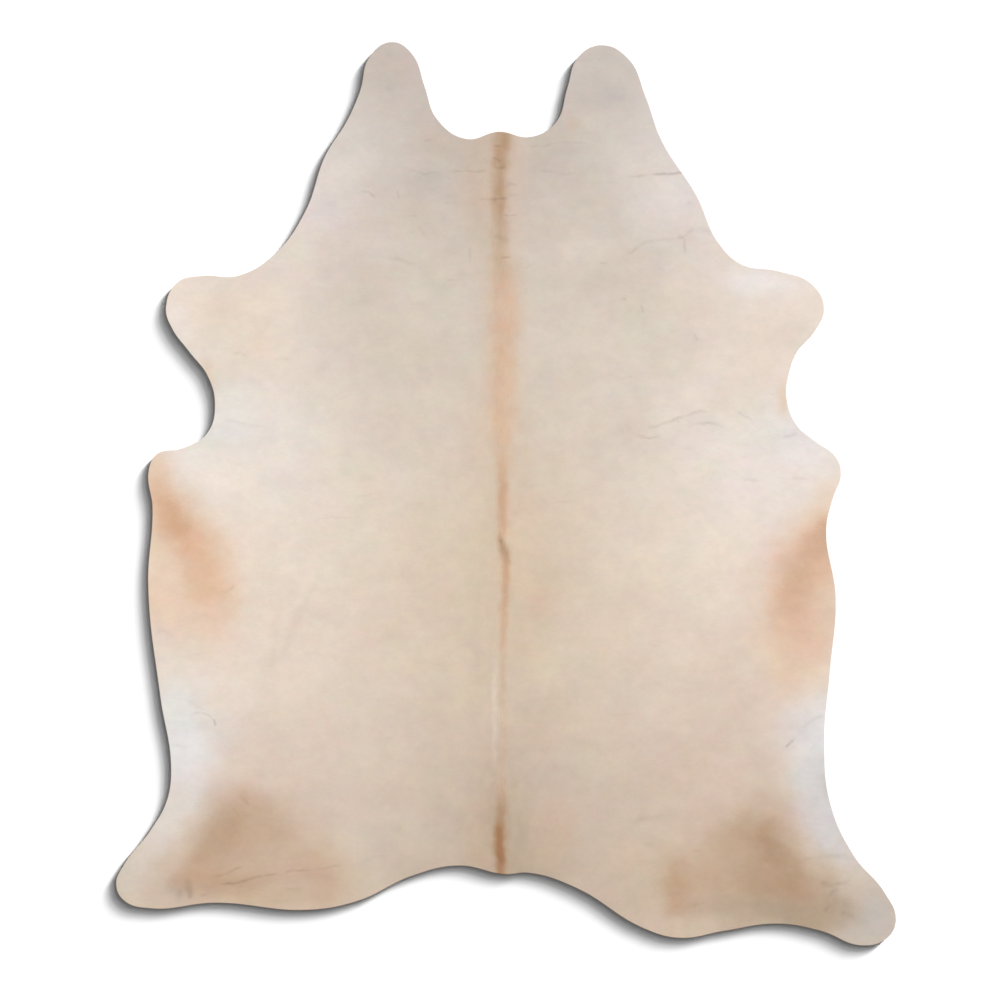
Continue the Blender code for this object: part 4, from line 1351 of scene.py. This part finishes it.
def locks_tree():
    """Geometry nodes that lay locks on a piece, fit them to the coat and make them one mesh."""
    tree, given, result = group_tree(
        "lay_locks", "GeometryNodeTree",
        [("Geometry", "NodeSocketGeometry", None), ("Lock", "NodeSocketObject", None),
         ("Coat", "NodeSocketObject", None), ("Length", "NodeSocketFloat", 0.03),
         ("Width", "NodeSocketFloat", 0.003), ("Height", "NodeSocketFloat", 0.0003),
         ("Roundness", "NodeSocketFloat", 0.1), ("Spacing", "NodeSocketFloat", 0.006),
         ("Turn", "NodeSocketFloat", 0.15), ("Seed", "NodeSocketInt", 1)],
        [("Geometry", "NodeSocketGeometry")])

    def named(name, data_type):
        return node(tree, "GeometryNodeInputNamedAttribute", {"Name": name}, data_type=data_type).outputs[0]

    def drawn(draw):
        low, high, seed = LOCK_DRAWS[draw]
        return node(tree, "FunctionNodeRandomValue", {
            "Min": low, "Max": high, "Seed": seed}, data_type="FLOAT").outputs["Value"]

    def store(geometry, name, value, data_type):
        return node(tree, "GeometryNodeStoreNamedAttribute", {
            "Geometry": geometry, "Name": name, "Value": value},
            data_type=data_type, domain="POINT").outputs[0]

    def of_coat(value, data_type):
        found = node(tree, "GeometryNodeSampleNearestSurface", {
            "Mesh": whole.outputs["Geometry"]}, data_type=data_type)
        tree.links.new(value, found.inputs["Value"])
        return found.outputs["Value"]

    def own(kind, output):
        return node(tree, kind).outputs[output]

    # The upper side of the whole coat, which every lock is fitted to
    normal = own("GeometryNodeInputNormal", "Normal")
    level = node(tree, "ShaderNodeSeparateXYZ", {0: normal}).outputs["Z"]
    coat = node(tree, "GeometryNodeObjectInfo", {"Object": given.outputs["Coat"]}).outputs["Geometry"]
    whole = node(tree, "GeometryNodeDeleteGeometry", {
        "Geometry": coat, "Selection": maths(tree, "LESS_THAN", level, STEEP_RIM)}, domain="FACE")

    # Roots, with the size, the direction and the tone of each lock
    reach = named("reach", "FLOAT")
    scatter = node(tree, "GeometryNodeDistributePointsOnFaces", {
        "Mesh": given.outputs["Geometry"], "Distance Min": given.outputs["Spacing"],
        "Density Max": MOST_LOCKS, "Density Factor": maths(tree, "GREATER_THAN", reach, SHORTEST_LOCK),
        "Seed": given.outputs["Seed"]}, distribute_method="POISSON")
    length = maths(tree, "MULTIPLY", given.outputs["Length"], drawn("length"))
    length = maths(tree, "MINIMUM", reach, length)
    width = maths(tree, "MULTIPLY", given.outputs["Width"], drawn("width"))
    axes = node(tree, "FunctionNodeAxesToRotation", {
        "Primary Axis": scatter.outputs["Normal"], "Secondary Axis": named("lie", "FLOAT_VECTOR")},
        primary_axis="Z", secondary_axis="X")
    yaw = maths(tree, "MULTIPLY", drawn("turn"), given.outputs["Turn"])
    turned = node(tree, "FunctionNodeEulerToRotation", {0: joined(tree, 0.0, 0.0, yaw)})
    rotation = node(tree, "FunctionNodeRotateRotation", {
        "Rotation": axes.outputs[0], "Rotate By": turned.outputs[0]}, rotation_space="LOCAL")
    toned = store(scatter.outputs["Points"], "lock_tone", drawn("tone"), "FLOAT")

    # A lock at each root, each point of which remembers its place in the lock
    lock = node(tree, "GeometryNodeObjectInfo", {"Object": given.outputs["Lock"]}).outputs["Geometry"]
    marked = store(lock, "strand", own("GeometryNodeInputPosition", 0), "FLOAT_VECTOR")
    laid = node(tree, "GeometryNodeInstanceOnPoints", {
        "Points": toned, "Instance": marked, "Rotation": rotation.outputs[0],
        "Scale": joined(tree, length, width, given.outputs["Height"])})
    real = node(tree, "GeometryNodeRealizeInstances", {"Geometry": laid.outputs[0]}).outputs[0]

    # The points set down on the coat, a little sunk, and coloured half as their root is
    strand = node(tree, "ShaderNodeSeparateXYZ", {0: named("strand", "FLOAT_VECTOR")}).outputs
    rise = maths(tree, "MULTIPLY_ADD", strand["Z"], given.outputs["Height"], -LOCK_SUNK)
    under = of_coat(own("GeometryNodeInputPosition", 0), "FLOAT_VECTOR")
    fitted = node(tree, "GeometryNodeSetPosition", {
        "Geometry": real, "Position": vectors(tree, "ADD", under, joined(tree, 0.0, 0.0, rise))}).outputs[0]
    local = of_coat(named("coat_colour", "FLOAT_COLOR"), "FLOAT_COLOR")
    both = vectors(tree, "ADD", named("coat_colour", "FLOAT_COLOR"), local)
    blended = node(tree, "ShaderNodeVectorMath", {0: both, "Scale": 0.5}, operation="SCALE").outputs[0]
    coloured = store(fitted, "coat_colour", blended, "FLOAT_COLOR")
    random_place = joined(tree, strand["X"], strand["Y"], named("lock_tone", "FLOAT"))
    placed = store(coloured, "strand", random_place, "FLOAT_VECTOR")

    # Shading mostly like the coat's, with a little of the lock's own form
    smooth = node(tree, "GeometryNodeSetShadeSmooth", {"Geometry": placed}).outputs[0]
    form = vectors(tree, "MULTIPLY", own("GeometryNodeInputNormal", "Normal"), given.outputs["Roundness"])
    coat_normal = of_coat(own("GeometryNodeInputNormal", "Normal"), "FLOAT_VECTOR")
    shaded = vectors(tree, "NORMALIZE", vectors(tree, "ADD", coat_normal, form))
    soft = node(tree, "GeometryNodeSetMeshNormal", {"Mesh": smooth}, mode="FREE")
    tree.links.new(shaded, soft.inputs["Custom Normal"])
    tree.links.new(soft.outputs[0], result.inputs["Geometry"])
    return tree


def band_of_coat(coat, low, high):
    """A copy of the coat's upper faces between two places along the body."""
    shape = bmesh.new()
    shape.from_mesh(coat.data)
    shape.normal_update()
    unused = [face for face in shape.faces
              if face.normal.z < LEVEL_FACE or not low <= face.calc_center_median().y - TAIL_Y < high]
    bmesh.ops.delete(shape, geom=unused, context="FACES")
    mesh = bpy.data.meshes.new("band")
    shape.to_mesh(mesh)
    shape.free()
    return mesh


# Studio


def lay_floor():
    """A plain pale floor just under the hide."""
    deselect_all()
    bpy.ops.mesh.primitive_plane_add(size=FLOOR_SIZE, location=(0.0, 0.0, -FLOOR_DROP))
    floor = bpy.context.active_object
    floor.name = "floor"
    material, _, _ = new_material("white_floor", {
        "Base Color": (FLOOR_TONE, FLOOR_TONE, FLOOR_TONE, 1.0), "Roughness": 1.0,
        "Specular IOR Level": 0.0})
    floor.data.materials.append(material)
    floor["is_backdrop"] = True
    return floor


def make_surroundings(ambient):
    """A white backdrop for the camera, and fainter white light for everything else."""
    world = bpy.data.worlds.new("studio")
    world.use_nodes = True
    tree = world.node_tree
    soft = tree.nodes["Background"]
    soft.inputs["Color"].default_value = WHITE
    soft.inputs["Strength"].default_value = ambient
    seen = node(tree, "ShaderNodeBackground", {"Color": WHITE, "Strength": BACKDROP})
    choice = node(tree, "ShaderNodeMixShader", {
        0: node(tree, "ShaderNodeLightPath").outputs["Is Camera Ray"], 1: soft.outputs[0],
        2: seen.outputs[0]})
    tree.links.new(choice.outputs[0], tree.nodes["World Output"].inputs["Surface"])
    return world


def hang_lamps(settings, floor):
    """One lamp for the hide, and lower ones from the same side that light the floor alone."""
    ground = bpy.data.collections.new("lit_floor")
    ground.objects.link(floor)
    hide = bpy.data.collections.new("lit_hide")
    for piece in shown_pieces():
        hide.objects.link(piece)
    lamps = [("overhead_lamp", settings.overhead, *OVERHEAD, hide)]
    for name, share, elevation, breadth in FLOOR_LAMPS:
        strength = share * settings.floor * math.pi / FLOOR_TONE / math.sin(math.radians(elevation))
        lamps.append((name, strength, elevation, breadth, ground))
    for name, strength, elevation, breadth, lit in lamps:
        data = bpy.data.lights.new(name, "SUN")
        data.energy = strength
        data.angle = math.radians(breadth)
        lamp = bpy.data.objects.new(name, data)
        lamp.rotation_euler = (0.0, math.radians(90.0 - elevation), math.radians(LAMP_SIDE))
        lamp.light_linking.receiver_collection = lit
        bpy.context.scene.collection.objects.link(lamp)


def set_camera(settings):
    """A camera straight above, so far off that the picture's width takes in its share of the hide."""
    data = bpy.data.cameras.new("camera")
    data.lens = settings.lens
    data.clip_end = CAMERA_REACH
    camera = bpy.data.objects.new("camera", data)
    width = PICTURE_WIDTH * settings.pixel
    distance = width / 2.0 * data.lens / (data.sensor_width / 2.0)
    camera.location = (*PICTURE_MIDDLE, CAD_HIGH.z + distance)
    bpy.context.scene.collection.objects.link(camera)
    bpy.context.scene.camera = camera


# Operators


class HIDE_OT_leather(bpy.types.Operator):
    """Make the leather: a thin closed sheet with a suede flesh side and a cut edge"""
    bl_idname = "hide.leather"
    bl_label = "Leather"

    def execute(self, context):
        sizes = context.scene.hide_sizes
        outline = hide_outline(sizes.edge_step)

        def height(points, share, gap):
            return share * sizes.leather + fold_lift(points)

        field = filling(outline, sizes.leather_step, [])
        field = field[outline.gap(field) > sizes.leather_step * LEATHER_CLEARANCE]
        piece = closed_sheet("hide_leather", outline, LEATHER_RIM, field, field, height)
        piece.data.materials.append(suede_material())
        declare(piece)
        return {"FINISHED"}


class HIDE_OT_coat(bpy.types.Operator):
    """Make the coat: the mass of short hair on the leather, with its creases and its painted colours"""
    bl_idname = "hide.coat"
    bl_label = "Coat"

    def execute(self, context):
        sizes = context.scene.hide_sizes
        outline = hide_outline(sizes.edge_step)

        def height(points, share, gap):
            lift = sizes.leather - COAT_OVERLAP + share * (sizes.coat + COAT_OVERLAP) + fold_lift(points)
            if share < 1.0:
                return lift
            uneven = waver(points, "coat, fine")[:, 0] + waver(points, "coat, broad")[:, 0]
            inner = smoothstep(gap / EVEN_RIM)
            return lift + inner * (sizes.unevenness * uneven - crease_marks(points)[0])

        upper = filling(outline, sizes.coat_step, thinned(fine_points(), LEAST_GAP))
        upper = upper[outline.gap(upper) > COAT_RIM[0][0] + sizes.coat_step * COAT_CLEARANCE]
        lower = filling(outline, sizes.leather_step * UNDERSIDE_COARSENESS, [])
        lower = lower[outline.gap(lower) > sizes.leather_step]
        piece = closed_sheet("hide_coat", outline, COAT_RIM, upper, lower, height)
        paint(piece.data, outline)
        piece.data.materials.append(coat_material())
        declare(piece)
        return {"FINISHED"}


class HIDE_OT_locks(bpy.types.Operator):
    """Lay the small locks of hair on the coat, band by band along the body"""
    bl_idname = "hide.locks"
    bl_label = "Locks of hair"

    def execute(self, context):
        coat = bpy.data.objects.get("hide_coat")
        if coat is None:
            raise RuntimeError("make the coat before its locks")
        sizes = context.scene.lock_sizes
        lock = lock_shape()
        tree = locks_tree()
        for number, (name, low, high) in enumerate(BANDS):
            piece = bpy.data.objects.new(name, band_of_coat(coat, low, high))
            context.scene.collection.objects.link(piece)
            laid = piece.modifiers.new("locks", "NODES")
            laid.node_group = tree
            values = {"Lock": lock, "Coat": coat, "Length": sizes.length, "Width": sizes.width,
                      "Height": sizes.height, "Roundness": sizes.roundness, "Spacing": sizes.spacing,
                      "Turn": sizes.turn, "Seed": sizes.seed + number}
            for item in tree.interface.items_tree:
                if item.in_out == "INPUT" and item.name in values:
                    laid[item.identifier] = values[item.name]
            make_active(piece)
            bpy.ops.object.modifier_apply(modifier=laid.name)
            piece.data.materials.clear()
            piece.data.materials.append(coat.data.materials[0])
            declare(piece)
        bpy.data.objects.remove(lock)
        return {"FINISHED"}


class HIDE_OT_studio(bpy.types.Operator):
    """Make the plain pale floor, the soft lamps and the camera straight above"""
    bl_idname = "hide.studio"
    bl_label = "Studio"

    def execute(self, context):
        settings = context.scene.studio_settings
        floor = lay_floor()
        context.scene.world = make_surroundings(settings.ambient)
        hang_lamps(settings, floor)
        set_camera(settings)
        context.scene.view_settings.view_transform = "Standard"
        return {"FINISHED"}


class HIDE_PT_panel(bpy.types.Panel):
    """The steps that make the rug, in order"""
    bl_label = "Cowhide"
    bl_idname = "HIDE_PT_panel"
    bl_space_type = "VIEW_3D"
    bl_region_type = "UI"
    bl_category = "Cowhide"

    def draw(self, context):
        for operator in OPERATORS:
            self.layout.operator(operator.bl_idname)


OPERATORS = (HIDE_OT_leather, HIDE_OT_coat, HIDE_OT_locks, HIDE_OT_studio)
SETTINGS = (
    ("hide_pigments", HidePigments),
    ("ground_tones", GroundTones),
    ("hide_sizes", HideSizes),
    ("lock_sizes", LockSizes),
    ("studio_settings", StudioSettings),
)


def register():
    for name, group in SETTINGS:
        bpy.utils.register_class(group)
        setattr(bpy.types.Scene, name, PointerProperty(type=group))
    for shown in (*OPERATORS, HIDE_PT_panel):
        bpy.utils.register_class(shown)


def unregister():
    for shown in reversed((*OPERATORS, HIDE_PT_panel)):
        bpy.utils.unregister_class(shown)
    for name, group in reversed(SETTINGS):
        delattr(bpy.types.Scene, name)
        bpy.utils.unregister_class(group)


def main():
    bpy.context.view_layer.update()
    register()
    bpy.ops.hide.leather()
    bpy.ops.hide.coat()
    bpy.ops.hide.locks()
    bpy.ops.hide.studio()


if __name__ == "__main__":
    main()
